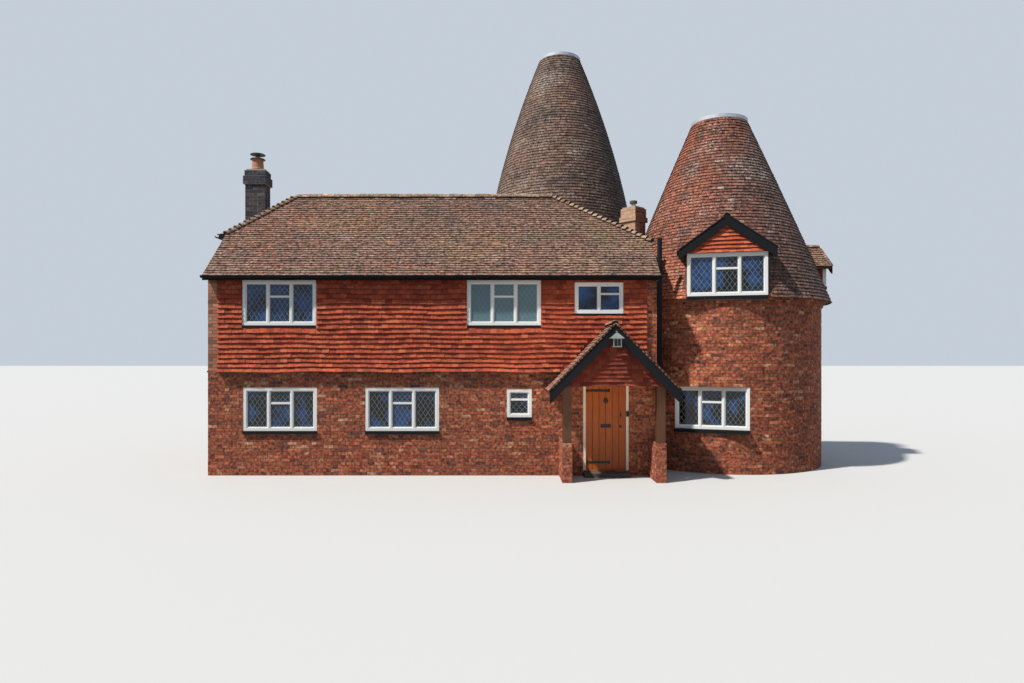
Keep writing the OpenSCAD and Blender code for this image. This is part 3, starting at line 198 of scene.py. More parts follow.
def slabs(pile, tail, across, up, out, w0, w1, length, thick, gauge):
    """Tiles: tail is the middle of the lower edge on the bed, and the head dips under the next courses."""
    n = len(tail)
    lift = thick * length / gauge
    wobble = rng.normal(0, TILE_TURN, (n, 1))
    across, up = across + wobble * up, up - wobble * across
    thick = thick * (1 + rng.normal(0, TILE_SWELL, (n, 1)))
    tail = tail + up * rng.normal(0, TILE_SLIP, (n, 1)) + out * rng.normal(0.001, TILE_RISE, (n, 1))
    w0, w1 = (np.broadcast_to(np.asarray(w, float), n)[:, None] for w in (w0, w1))
    head = tail + up * length - out * lift
    low = [tail - across * w0 / 2, tail + across * w0 / 2, head + across * w1 / 2, head - across * w1 / 2]
    pile.add(np.stack(low + [p + out * thick for p in low], axis=1))


def arc_tile(loose, tail, direction, up, r0, r1, length, spread, thick=COVER_T, sides=8):
    """A curved clay cover: a bent plate from the tail, along direction, that narrows from r0 to r1."""
    d, u = Vector(direction).normalized(), Vector(up)
    u = (u - d * u.dot(d)).normalized()
    s = d.cross(u)
    verts, faces = [], []
    for along, r in ((0.0, r0), (length, r1)):
        for rad in (r, r - thick):
            for k in range(sides + 1):
                a = -spread + 2 * spread * k / sides
                verts.append(Vector(tail) + d * along + rad * (math.sin(a) * s + math.cos(a) * u))
    n = sides + 1
    for k in range(sides):
        o0, o1, i0, i1 = k, 2 * n + k, n + k, 3 * n + k
        faces += [(o0, o0 + 1, o1 + 1, o1), (i0 + 1, i0, i1, i1 + 1)]
        faces += [(o0 + 1, o0, i0, i0 + 1), (o1, o1 + 1, i1 + 1, i1)]
    faces += [(0, 2 * n, 3 * n, n), (n - 1, 2 * n - 1, 4 * n - 1, 3 * n - 1)]
    loose.add(verts, faces)


def ring(theta):
    """Outward and sideways directions at some angles round an upright axis."""
    cos, sin, flat = np.cos(theta), np.sin(theta), 0 * theta
    return np.stack([cos, sin, flat], 1), np.stack([-sin, cos, flat], 1)


# ---------------------------------------------------------------- what a tile or brick must keep out of
def anywhere(p):
    return np.ones(len(p), bool)


def cone_radius(share, cap, bulge):
    return cap + (KILN_EAVES_R - cap) * share + 4 * bulge * share * (1 - share)


def in_cone(p, which, skin=0.0):
    (ax, ay), cap, top, bulge = CONES[which]
    share = (top - p[:, 2]) / (top - KILN_EAVES_Z)
    r = np.hypot(p[:, 0] - ax, p[:, 1] - ay)
    inside = (share > 0) & (share < 1) & (r < cone_radius(share, cap, bulge) + skin)
    return inside | ((share >= 1) & (r < KILN_R + skin))


def in_range(p, skin=0.0):
    roof = WALL_H + ROOF_T + (HALF_D - np.abs(p[:, 1])) * T(PITCH)
    for side, ridge_x, _, hip_z in HIPS:
        fall = (RIDGE_Z - hip_z) / (ROOF_HX - side * ridge_x)
        roof = np.minimum(roof, RIDGE_Z - side * (p[:, 0] - ridge_x) * fall)
    shell = (np.abs(p[:, 0]) < ROOF_HX) & (np.abs(p[:, 1]) < ROOF_HY) & (p[:, 2] < roof + skin)
    walls = (np.abs(p[:, 0]) < HALF_L) & (np.abs(p[:, 1]) < HALF_D)
    return shell & (walls | (p[:, 2] > roof - ROOF_T / math.cos(PITCH)))


def seen_from(p, x, y, turn):
    """Points as x and y in upright axes at (x, y), turned by so many degrees."""
    a = R(turn)
    dx, dy = p[:, 0] - x, p[:, 1] - y
    return dx * math.cos(a) + dy * math.sin(a), -dx * math.sin(a) + dy * math.cos(a)


def in_dormer(p, skin=0.0):
    hit = np.zeros(len(p), bool)
    for d in DORMERS.values():
        x, y = seen_from(p, *FRONT_KILN, d["turn"])
        under = d["sill"] + d["win"] + d["rise"] + (d["half"] - np.abs(x)) * T(d["pitch"])
        top = under + DORMER_T + skin
        body = (np.abs(x) < d["half"] + skin) & (p[:, 2] > d["sill"] - 0.08 - skin)
        eaves = (np.abs(x) < d["span"] + skin) & (p[:, 2] > under - skin)
        hit |= (y < 0) & (p[:, 2] < top) & (body | eaves)
    return hit


def in_stack(p, skin=0.02):
    hit = np.zeros(len(p), bool)
    for s in (STACK_L, STACK_R):
        u, v = seen_from(p, s["x"], s["y"], s["turn"])
        hit |= (np.abs(u) < s["w"] / 2 + skin) & (np.abs(v) < s["d"] / 2 + skin)
    return hit


def in_porch_roof(p, skin=0.0):
    top = PORCH_RIDGE - np.abs(p[:, 0] - PORCH_X) * T(PORCH_PITCH)
    return (
        (np.abs(p[:, 0] - PORCH_X) < PORCH_SPAN) & (p[:, 2] < top + skin)
        & (p[:, 2] > top - PORCH_T / math.cos(PORCH_PITCH) - skin) & (p[:, 1] < 0)
    )


def off_cones(p):
    return ~(in_cone(p, "front", 0.01) | in_cone(p, "rear", 0.01))


def off_kilns(p):
    return ~(in_cone(p, "rear") | in_cone(p, "front"))


# ---------------------------------------------------------------- windows
def place(x, y, z, turn):
    return Matrix.Translation((x, y, z)) @ Matrix.Rotation(R(turn), 4, "Z")


def on_kiln(axis, turn, r, z):
    return place(*axis, 0, turn) @ Matrix.Translation((0, -r, z))


# the range's faces seen from outside: x along the wall, -y outwards
FACES = {
    "front": place(0, -HALF_D, 0, 0), "back": place(0, HALF_D, 0, 180),
    "left": place(-HALF_L, 0, 0, -90), "right": place(HALF_L, 0, 0, 90),
}
WINDOWS = []  # wall, place, width, height, lights
for wall, u, sill, *size in (
    ("front", -HALF_L + BAY_L, UP_SILL, WIN_W, WIN_UP_H, 3),
    ("front", HALF_L - BAY_R, UP_SILL, WIN_W, WIN_UP_H, 3),
    ("front", HALF_L - BAY_TWO, TWO_SILL, TWO_W, TWO_H, 2),
    ("back", HALF_L - BAY_L, UP_SILL, WIN_W, WIN_UP_H, 3),
    ("back", HALF_L - BAY_M, UP_SILL, WIN_W, WIN_UP_H, 3),
    ("left", HALF_D - BAY_END, TWO_SILL, TWO_W, TWO_H, 2),
    ("front", -HALF_L + BAY_L, LOW_SILL, WIN_W, WIN_LOW_H, 3),
    ("front", -HALF_L + BAY_M, LOW_SILL, WIN_W, WIN_LOW_H, 3),
    ("back", HALF_L - BAY_L, LOW_SILL, WIN_W, WIN_LOW_H, 3),
    ("back", HALF_L - BAY_M, LOW_SILL, WIN_W, WIN_LOW_H, 3),
    ("front", HALF_L - BAY_ONE, ONE_SILL, ONE_W, ONE_H, 1),
    ("left", HALF_D - BAY_END, LOW_SILL, TWO_W, WIN_LOW_H, 2),
):
    out = HUNG_T if sill > STOREY_Z else 0.0
    WINDOWS.append((wall, FACES[wall] @ Matrix.Translation((u, -out, sill)), *size))
for label, axis in (("front", FRONT_KILN), ("rear", REAR_KILN)):
    m = on_kiln(axis, KILN_WINDOWS[label], KILN_FRAME_R, LOW_SILL)
    WINDOWS.append((label + "_kiln", m, WIN_W, WIN_LOW_H, 3))
for d in DORMERS.values():
    m = on_kiln(FRONT_KILN, d["turn"], d["face"], d["sill"])
    WINDOWS.append(("dormer", m, 2 * d["half"], d["win"], d["lights"]))


def window_holes(wall, below):
    """Rectangles (u0, u1, z0, z1) of the windows in one straight wall; u runs along the wall as seen."""
    out = []
    for where, m, w, h, _ in WINDOWS:
        if where == wall:
            p = m.translation
            u = {"front": p.x, "back": -p.x, "left": -p.y}[wall]
            out.append((u - w / 2, u + w / 2, p.z - below, p.z + h))
    return out


def cut_out(rect, holes, least_w, least_h):
    """A rectangle (u0, u1, z0, z1) less some holes, as rectangles; those too small are left out."""
    parts = [rect]
    for a, b, c, d in holes:
        left = []
        for u0, u1, z0, z1 in parts:
            if u1 <= a or u0 >= b or z1 <= c or z0 >= d:
                left.append((u0, u1, z0, z1))
                continue
            left += [(u0, a, z0, z1)] if u0 < a else []
            left += [(b, u1, z0, z1)] if u1 > b else []
            u0, u1 = max(u0, a), min(u1, b)
            left += [(u0, u1, z0, c)] if z0 < c else []
            left += [(u0, u1, d, z1)] if z1 > d else []
        parts = left
    return [p for p in parts if p[1] - p[0] > least_w and p[3] - p[2] > least_h]


def panes(w, h, lights):
    """Visible glass of each pane as (x0, x1, z0, z1) in the window's own frame."""
    lw = (w - 2 * FRAME_W - (lights - 1) * MULLION) / lights
    lh = h - 2 * FRAME_W
    cut = lh * (1 - TRANSOM)
    for i in range(lights):
        x = -w / 2 + FRAME_W + i * (lw + MULLION)
        split = lights == 1 or i == (1 if lights == 3 else lights - 1)
        for a, b in [(0, cut), (cut, lh)] if split else [(0, lh)]:
            yield x + CASEMENT, x + lw - CASEMENT, FRAME_W + a + CASEMENT, FRAME_W + b - CASEMENT


def clip_line(x0, x1, z0, z1, c, slope):
    """The stretch of z = slope * x + c inside a rectangle, or None."""
    pts = [(x, slope * x + c) for x in (x0, x1) if z0 <= slope * x + c <= z1]
    pts += [((z - c) / slope, z) for z in (z0, z1) if x0 < (z - c) / slope < x1]
    pts = sorted(set((round(a, 5), round(b, 5)) for a, b in pts))
    return (pts[0], pts[-1]) if len(pts) > 1 and pts[-1][0] - pts[0][0] > 0.01 else None


def lattice(pile, m, x0, x1, z0, z1):
    """Leaded diamonds in one pane: two families of flat cames and a border."""
    y = FRAME_D / 2
    nx = max(2, round((x1 - x0) / DIAMOND_W))
    nz = max(2, round((z1 - z0) / DIAMOND_H))
    dx, dz = (x1 - x0) / nx, (z1 - z0) / nz
    slope = dz / dx
    for s in (slope, -slope):
        base = z0 - s * (x0 if s > 0 else x1)
        for k in range(-nx - nz, nx + nz + 1):
            seg = clip_line(x0, x1, z0, z1, base + (k + 0.5) * dz, s)
            if seg is None:
                continue
            (ax, az), (bx, bz) = seg
            length = math.hypot(bx - ax, bz - az)
            turn = Matrix.Translation((ax, y, az)) @ Matrix.Rotation(-math.atan2(bz - az, bx - ax), 4, "Y")
            pile.box((0, -LEAD_HALF_T, -LEAD_W / 2), (length, LEAD_HALF_T, LEAD_W / 2), m @ turn)
    for a, b, c, d in ((x0, x1, z0, z0 + LEAD_W), (x0, x1, z1 - LEAD_W, z1),
                       (x0, x0 + LEAD_W, z0, z1), (x1 - LEAD_W, x1, z0, z1)):
        pile.box((a, y - 0.006, c), (b, y + 0.006, d), m)


# ---------------------------------------------------------------- materials
class Nodes:
    """A node tree with short calls that add to it. A value is a socket, a number or a colour."""

    def __init__(self, owner):
        owner.use_nodes = True
        self.owner, self.tree = owner, owner.node_tree

    def feed(self, node, inputs):
        for key, value in inputs.items():
            socket = node.inputs[key]
            if hasattr(value, "links"):
                self.tree.links.new(value, socket)
            elif socket.type == "RGBA":
                socket.default_value = (*value, 1)
            else:
                socket.default_value = value

    def node(self, kind, inputs, **settings):
        """A new node's outputs."""
        n = self.tree.nodes.new(kind)
        for key, value in settings.items():
            setattr(n, key, value)
        self.feed(n, inputs)
        return n.outputs

    def attr(self, name):
        return self.node("ShaderNodeAttribute", {}, attribute_name=name)["Fac"]

    def coords(self, scale=(1, 1, 1)):
        spot = self.node("ShaderNodeTexCoord", {})["Object"]
        return self.node("ShaderNodeMapping", {"Vector": spot, "Scale": scale})["Vector"]

    def split(self, vector):
        return self.node("ShaderNodeSeparateXYZ", {0: vector})

    def normal(self):
        return self.split(self.node("ShaderNodeNewGeometry", {})["Normal"])

    def noise(self, scale, detail=4.0, rough=0.6, stretch=(1, 1, 1)):
        inputs = {"Scale": scale, "Detail": detail, "Roughness": rough, "Vector": self.coords(stretch)}
        return self.node("ShaderNodeTexNoise", inputs)["Fac"]

    def ramp(self, fac, stops):
        """Colours along 0 to 1; a stop is (place, colour)."""
        n = self.tree.nodes.new("ShaderNodeValToRGB")
        e = n.color_ramp.elements
        while len(e) < len(stops):
            e.new(0.5)
        for item, (pos, col) in zip(e, stops):
            item.position = pos
            item.color = (*col, 1)
        self.feed(n, {"Fac": fac})
        return n.outputs["Color"]

    def mask(self, fac, low, high, top=1.0):
        """Nought up to low, and top from high on."""
        return self.ramp(fac, [(low, (0, 0, 0)), (high, (top, top, top))])

    def mix(self, fac, a, b, blend="MIX"):
        inputs = {"Factor": fac, 6: a, 7: b}
        return self.node("ShaderNodeMix", inputs, data_type="RGBA", blend_type=blend)[2]

    def calc(self, op, a, b=0.0, clamp=False):
        return self.node("ShaderNodeMath", {0: a, 1: b}, operation=op, use_clamp=clamp)[0]

    def times(self, a, b):
        return self.calc("MULTIPLY", a, b)

    def plus(self, a, b):
        return self.calc("ADD", a, b)

    def minus(self, a, b, clamp=False):
        return self.calc("SUBTRACT", a, b, clamp)

    def over(self, a, b):
        return self.calc("GREATER_THAN", a, b)

    def under(self, a, b):
        return self.calc("LESS_THAN", a, b)

    def surface(self, colour, rough, relief=None, others=()):
        """Sets the surface and returns its material. A relief is a bump's (height, strength, distance)."""
        bsdf = self.tree.nodes["Principled BSDF"]
        self.feed(bsdf, {"Base Color": colour, "Roughness": rough, **dict(others)})
        if relief:
            bump = self.node("ShaderNodeBump", dict(zip(("Height", "Strength", "Distance"), relief)))
            self.feed(bsdf, {"Normal": bump["Normal"]})
        return self.owner


def new_material(name):
    return Nodes(bpy.data.materials.new(name))


GRIT_SCALE = 15.0
# the first colour is painted shade for the flagged faces of tiles; the second is for pale flecks
EDGE_SHADE, PALE_FLECK = (0.012, 0.008, 0.007), (0.42, 0.38, 0.33)


def clay(name, stops, blotch, lichen=None, lichen_level=0.66, grime=0.35, edge=0.2, patch_size=0.9,
         painted_light_sides=None, flecks=None, clusters=(), grit=0.0):
    """Fired clay: each block's own tone, slow weathering, lichen spots, painted shade on the flagged faces
    of tiles, painted light and shade by side where given, and a pitted face.
    """
    t = new_material(name)
    colour = t.ramp(t.attr("tone"), stops)
    colour = t.mix(t.times(t.mask(t.noise(patch_size), 0.36, 0.66), grime), colour, blotch)
    # painted light and shade: faces turned to -x, where the key light comes from, blend to the first colour,
    # up to twice as bright below the low height as a painted pool of light; faces turned to +x blend to the
    # second colour as painted shade; above the high height the colour fades towards the first colour
    if painted_light_sides:
        left, right, low, high = painted_light_sides
        z = t.split(t.coords())[2]
        side = t.plus(t.normal()[0], t.times(t.minus(t.noise(0.7), 0.5), 1.6))
        sunlit_colour = t.mix(t.minus(low, z, True), left, tuple(c * 2.0 for c in left))
        colour = t.mix(t.mask(t.times(side, -1.0), 0.12, 0.7, 0.75), colour, sunlit_colour)
        colour = t.mix(t.mask(side, 0.05, 0.7, 0.6), colour, right)
        colour = t.mix(t.times(t.minus(z, high, True), 0.5), colour, left)
    fine = t.ramp(t.noise(38.0, 5.0, 0.65), [(0.25, (0.40, 0.40, 0.40)), (0.75, (0.62, 0.6, 0.58))])
    colour = t.mix(0.55, colour, fine, "OVERLAY")
    for scale, tint in zip((6.0, 13.0), lichen or ()):
        spot = t.mask(t.noise(scale, 7.0, 0.75), lichen_level, lichen_level + 0.05, 0.8)
        colour = t.mix(spot, colour, tint)
    for tint, size, level, grain in clusters:
        area = t.mask(t.noise(size, 3.0, 0.55), level, level + 0.14)
        bits = t.mask(t.noise(grain, 4.0, 0.7), 0.48, 0.56, 0.85)
        colour = t.mix(t.times(area, bits), colour, tint)
    if flecks:
        speck = t.plus(t.noise(23.0, 3.0, 0.6, (1, 1, 1.8)), t.times(t.noise(1.3, 3.0, 0.5), 0.35))
        colour = t.mix(t.mask(speck, flecks, flecks + 0.03, 0.85), colour, PALE_FLECK)
    if grit:
        grain = t.plus(t.times(t.noise(GRIT_SCALE, 2.0, 0.5), 2 * grit), 1 - grit)
        colour = t.mix(1.0, colour, t.calc("MAXIMUM", grain, 0.25), "MULTIPLY")
    # painted shade: flagged faces darken towards near black, spared by the edge amount, to deepen the lines
    # between courses
    colour = t.mix(t.times(t.attr("edge"), 1 - edge), colour, EDGE_SHADE)
    return t.surface(colour, 0.85, (t.noise(60.0, 4.0, 0.7), 0.5, 0.004), {"Specular IOR Level": 0.3})


def painted(name, colour, rough, wear, level, specular=0.5):
    t = new_material(name)
    worn = t.mask(t.noise(11.0, 6.0, 0.7), level, level + 0.08)
    base = t.mix(t.noise(2.2, 3.0), colour, tuple(c * 0.88 for c in colour))
    relief = (t.noise(45.0, 3.0, 0.6, (1, 1, 0.12)), 0.18, 0.002)
    return t.surface(t.mix(t.times(worn, 0.6), base, wear), rough, relief, {"Specular IOR Level": specular})


def timber(name, dark, light, along=(9, 9, 0.7), rough=0.6, seam=None):
    t = new_material(name)
    grain, fine = t.noise(5.0, 8.0, 0.7, along), t.noise(30.0, 4.0, 0.7, along)
    colour = t.ramp(t.plus(t.times(grain, 0.65), t.times(fine, 0.35)), [(0.3, dark), (0.7, light)])
    if seam:
        colour = t.mix(t.mask(t.attr("tone"), 0.0, 1.0, 0.55), colour, seam)
    return t.surface(colour, rough, (fine, 0.35, 0.002))


def metal(name, colour, rough, metallic, streak):
    t = new_material(name)
    spots = t.mask(t.noise(6.0, 6.0, 0.7, (1, 1, 0.35)), 0.45, 0.7)
    relief = (t.noise(25.0, 4.0, 0.6), 0.15, 0.003)
    return t.surface(t.mix(t.times(spots, 0.6), colour, streak), rough, relief, {"Metallic": metallic})


def mortar_core(name, outward=None, centre=None):
    """A brick wall's body: mortar on the outer face, brick in the reveals and pale plaster inside."""
    t = new_material("brick_core_" + name)
    normal, spot = t.normal(), t.split(t.coords())
    if outward:
        axis, sign = outward
        facing = t.times(normal[axis], sign)
    else:
        dx, dy = (t.minus(spot[i], centre[i]) for i in (0, 1))
        facing = t.calc("DIVIDE", t.plus(t.times(dx, normal[0]), t.times(dy, normal[1])), KILN_R)
    level = t.calc("FRACT", t.calc("DIVIDE", spot[2], COURSE))
    brick = t.noise(6.0, 5.0, 0.7, (1, 1, 2.0))
    brick = t.ramp(brick, [(0.3, (0.16, 0.05, 0.03)), (0.7, (0.36, 0.13, 0.07))])
    mortar = t.ramp(t.noise(14.0, 5.0, 0.7), [(0.3, (0.155, 0.125, 0.092)), (0.75, (0.30, 0.25, 0.19))])
    plaster = t.ramp(t.noise(2.0, 3.0, 0.5), [(0.3, (0.55, 0.52, 0.46)), (0.7, (0.66, 0.63, 0.57))])
    colour = t.mix(t.over(level, BRICK_H / COURSE), brick, mortar)
    colour = t.mix(t.over(facing, 0.75), colour, mortar)
    colour = t.mix(t.under(facing, -0.75), colour, plaster)
    return t.surface(colour, 0.9, (t.noise(70.0, 4.0, 0.7), 0.4, 0.003))


def glass_material():
    """Dark panes with painted blue sky reflections in their base colour, more of them upstairs in the range;
    one window is pale.
    """
    t = new_material("window_glass")
    window = WINDOWS[CURTAINED_WINDOW][1].translation
    x, y, z = t.split(t.coords())
    upper = t.over(z, window.z)
    # painted reflection: noise picks between near-black pane and blue sky colour, bluer in the range's upper
    # windows
    sky = t.plus(t.noise(1.9, 3.0), t.times(t.times(upper, t.under(x, HALF_L)), 0.07))
    tint = t.ramp(sky, [(0.48, (0.003, 0.006, 0.005)), (0.55, (0.010, 0.055, 0.18)),
                        (0.70, (0.028, 0.13, 0.40))])
    near = t.under(t.calc("ABSOLUTE", t.minus(x, window.x)), WIN_W / 2)
    curtained = t.times(t.times(near, t.under(y, 0.0)), upper)
    tint = t.mix(t.times(curtained, 0.9), tint, (0.20, 0.38, 0.43))
    return t.surface(tint, 0.06, (t.noise(4.0, 2.0), 0.2, 0.01),
                     {"IOR": 1.55, "Specular IOR Level": 0.3, "Transmission Weight": 0.45})


def pot_material():
    """Clay pots with dark plates above them, told apart by their height over each stack."""
    t = new_material("pots_and_cowls")
    x, _, z = t.split(t.coords())
    speck = t.noise(9.0, 5.0, 0.7)
    dark = t.ramp(speck, [(0.35, (0.035, 0.033, 0.035)), (0.7, (0.11, 0.10, 0.10))])
    both = []
    for s, low, high in ((STACK_L, (0.34, 0.13, 0.07), (0.50, 0.23, 0.13)),
                         (STACK_R, (0.40, 0.32, 0.25), (0.56, 0.48, 0.40))):
        plates = t.over(z, s["top"] + s["pot"] - 0.001)
        both.append(t.mix(plates, t.ramp(speck, [(0.3, low), (0.7, high)]), dark))
    return t.surface(t.mix(t.over(x, 0.0), *both), 0.7)


LICHEN = ((0.30, 0.27, 0.21), (0.36, 0.22, 0.08))
ROOF_LICHEN = ((0.26, 0.21, 0.15), (0.36, 0.17, 0.055))
M_ROOF = clay(
    "roof_tile_clay",
    [(0.0, (0.155, 0.088, 0.065)), (0.3, (0.19, 0.108, 0.080)), (0.75, (0.225, 0.130, 0.098)),
     (0.97, (0.255, 0.155, 0.118)), (1.0, (0.34, 0.14, 0.08))],
    (0.165, 0.118, 0.095), ROOF_LICHEN, 0.60, flecks=0.83, grit=2.2,
    clusters=(((0.29, 0.112, 0.070), 0.45, 0.50, 7.0), ((0.31, 0.19, 0.095), 0.6, 0.50, 16.0),
              ((0.11, 0.085, 0.078), 0.8, 0.5, 6.0)))
M_CONE = clay(
    "front_cone_clay",
    [(0.0, (0.085, 0.043, 0.036)), (0.25, (0.135, 0.062, 0.048)), (0.75, (0.185, 0.076, 0.054)),
     (0.97, (0.24, 0.10, 0.068)), (1.0, (0.40, 0.31, 0.25))],
    (0.12, 0.085, 0.075), LICHEN, edge=0.0, grit=1.8, flecks=0.80,
    # painted light on the front cone's -x side, brightest low down, and painted shade on its +x side
    painted_light_sides=((0.30, 0.092, 0.05), (0.105, 0.078, 0.07), 5.5, 7.9),
    clusters=(((0.36, 0.32, 0.28), 0.7, 0.57, 22.0), ((0.075, 0.045, 0.038), 0.9, 0.45, 6.0)))
M_REAR = clay(
    "rear_cone_clay",
    [(0.0, (0.105, 0.060, 0.046)), (0.5, (0.170, 0.096, 0.070)), (0.95, (0.22, 0.128, 0.094)),
     (1.0, (0.34, 0.28, 0.22))],
    (0.13, 0.108, 0.09), LICHEN, 0.63, grime=0.5, edge=0.05, grit=1.6, flecks=0.82,
    # painted light on the rear cone's -x side and painted shade on its +x side
    painted_light_sides=((0.19, 0.125, 0.10), (0.045, 0.040, 0.043), 0.0, 99.0),
    clusters=(((0.36, 0.32, 0.27), 0.8, 0.54, 24.0), ((0.06, 0.045, 0.04), 0.9, 0.48, 6.0)))
M_HUNG = clay(
    "hung_tile_clay",
    [(0.0, (0.23, 0.042, 0.021)), (0.35, (0.40, 0.070, 0.032)), (0.85, (0.53, 0.105, 0.046)),
     (1.0, (0.50, 0.13, 0.062))],
    (0.28, 0.062, 0.036), grime=0.4, patch_size=1.6, edge=0.0, grit=0.7)
M_BRICK = clay(
    "red_brick",
    [(0.0, (0.11, 0.046, 0.036)), (0.12, (0.26, 0.070, 0.038)), (0.6, (0.40, 0.105, 0.050)),
     (0.92, (0.50, 0.16, 0.080)), (1.0, (0.56, 0.31, 0.18))],
    (0.24, 0.084, 0.050), grime=0.4, grit=1.8)
M_QUOIN = clay(
    "pale_brick",
    [(0.0, (0.16, 0.072, 0.050)), (0.4, (0.37, 0.155, 0.095)), (0.9, (0.52, 0.245, 0.155)),
     (1.0, (0.60, 0.40, 0.27))],
    (0.28, 0.13, 0.088), grime=0.45)
M_STACK = clay(
    "sooty_brick",
    [(0.0, (0.028, 0.030, 0.044)), (0.5, (0.042, 0.042, 0.058)), (0.9, (0.080, 0.058, 0.066)),
     (1.0, (0.14, 0.10, 0.09))],
    (0.038, 0.042, 0.062), grime=0.6)
M_RIDGE = clay(
    "ridge_clay", [(0.0, (0.13, 0.076, 0.056)), (0.5, (0.23, 0.14, 0.105)), (1.0, (0.44, 0.32, 0.25))],
    (0.33, 0.25, 0.20), LICHEN, 0.53, grime=0.6, patch_size=2.6, grit=1.4)
M_PORCH_ROOF = clay(
    "porch_roof_clay", [(0.0, (0.17, 0.080, 0.055)), (0.5, (0.29, 0.145, 0.10)), (1.0, (0.44, 0.26, 0.19))],
    (0.22, 0.125, 0.09), LICHEN, 0.62, edge=0.1)
M_PALE = clay(
    "buff_brick",
    [(0.0, (0.20, 0.095, 0.062)), (0.4, (0.38, 0.20, 0.13)), (0.9, (0.52, 0.32, 0.22)),
     (1.0, (0.62, 0.46, 0.34))],
    # painted light on the right stack's -x faces and painted shade on its +x faces
    (0.38, 0.23, 0.16), grime=0.4, painted_light_sides=((0.56, 0.36, 0.24), (0.085, 0.040, 0.034), 0.0, 99.0))
# painted shade: a much darker copy of the hung tile clay for the porch gable, which lies in shade
M_PORCH_GABLE_SHADED = clay(
    "shaded_porch_tile_clay",
    [(0.0, (0.08, 0.016, 0.011)), (0.5, (0.135, 0.026, 0.015)), (1.0, (0.20, 0.047, 0.027))],
    (0.15, 0.034, 0.020), grime=0.4, patch_size=1.6, edge=0.0)
# painted light: a brighter copy of the hung tile clay for the dormer gables, lighter because the sun falls
# on them
M_GABLE_SUNLIT = clay(
    "sunlit_gable_tile_clay", [(0.0, (0.40, 0.075, 0.033)), (0.5, (0.52, 0.105, 0.045)), (1.0, (0.64, 0.17, 0.08))],
    (0.38, 0.082, 0.045), grime=0.3, patch_size=1.6, edge=0.0)
M_POT = pot_material()
M_MORTAR = clay("lime_mortar", [(0.0, (0.36, 0.33, 0.28)), (1.0, (0.52, 0.48, 0.42))], (0.3, 0.28, 0.24))
M_STEP = clay("door_step_stone", [(0.0, (0.10, 0.08, 0.07)), (1.0, (0.16, 0.13, 0.11))], (0.08, 0.07, 0.06))
M_BED = clay("roof_bed", [(0.0, (0.10, 0.055, 0.04)), (1.0, (0.12, 0.065, 0.05))], (0.1, 0.07, 0.05))
M_WHITE = painted("white_paint", (0.90, 0.91, 0.89), 0.4, (0.60, 0.58, 0.52), 0.72)
M_CREAM = painted("cream_paint", (0.95, 0.82, 0.68), 0.45, (0.60, 0.46, 0.34), 0.7)
M_BLACK = painted("black_paint", (0.009, 0.010, 0.013), 0.75, (0.032, 0.026, 0.024), 0.66, specular=0.15)
M_IRON = metal("black_iron", (0.02, 0.02, 0.02), 0.45, 0.5, (0.06, 0.04, 0.03))
M_LEAD = metal("lead_came", (0.24, 0.27, 0.28), 0.5, 0.2, (0.12, 0.135, 0.14))
M_ZINC = metal("grey_zinc", (0.25, 0.28, 0.27), 0.5, 0.5, (0.16, 0.18, 0.175))
M_CAP = metal("kiln_cap_lead", (0.56, 0.60, 0.66), 0.5, 0.3, (0.31, 0.31, 0.33))
M_OAK = timber("weathered_oak", (0.038, 0.014, 0.004), (0.118, 0.043, 0.013))
M_DOOR = timber("stained_planks", (0.27, 0.047, 0.004), (0.63, 0.145, 0.011),
                rough=0.5, seam=(0.35, 0.072, 0.006))
M_FLOOR = timber("inner_floor", (0.20, 0.13, 0.08), (0.34, 0.25, 0.17), (0.8, 9, 9))
M_GLASS = glass_material()

for material, names in (
    (M_FLOOR, "ground_floor upper_floor"),
    (mortar_core("front", outward=(1, -1.0)),
     "front_wall_left front_wall_right front_wall_door_head front_wall_upper"),
    (mortar_core("back", outward=(1, 1.0)), "back_wall"),
    (mortar_core("left", outward=(0, -1.0)), "left_end_wall"),
    (mortar_core("right", outward=(0, 1.0)), "right_end_wall"),
    (mortar_core("front_kiln", centre=FRONT_KILN),
     "front_kiln_wall_front front_kiln_wall_side front_kiln_wall_back"),
    (mortar_core("rear_kiln", centre=REAR_KILN),
     "rear_kiln_wall_left rear_kiln_wall_back rear_kiln_wall_right"),
    (M_HUNG, "tile_hanging dormer_walls"),
    (M_BED, "roof_front_slope roof_back_slope roof_half_hips front_kiln_roof rear_kiln_roof"),
    (M_BED, "dormer_roofs porch_roof"),
    (M_RIDGE, "ridge_and_hip_tiles"),
    (M_BLACK, "gutters downpipes dormer_bargeboards porch_bargeboards window_sills"),
    (M_MORTAR, "left_chimney right_chimney porch_dwarf_walls"),
    (M_POT, "chimney_pots"),
    (M_CAP, "kiln_caps"),
    (M_OAK, "porch_frame"),
    (M_PORCH_GABLE_SHADED, "porch_gable"),
    (M_ZINC, "porch_lantern"),
    (M_CREAM, "door_frame"),
    (M_DOOR, "front_door"),
    (M_IRON, "door_ironwork"),
    (M_STEP, "doorstep"),
    (M_WHITE, "window_frames_lower window_frames_upper"),
    (M_GLASS, "window_glass"),
):
    for name in names.split():
        nodes[name].data.materials.clear()
        nodes[name].data.materials.append(material)


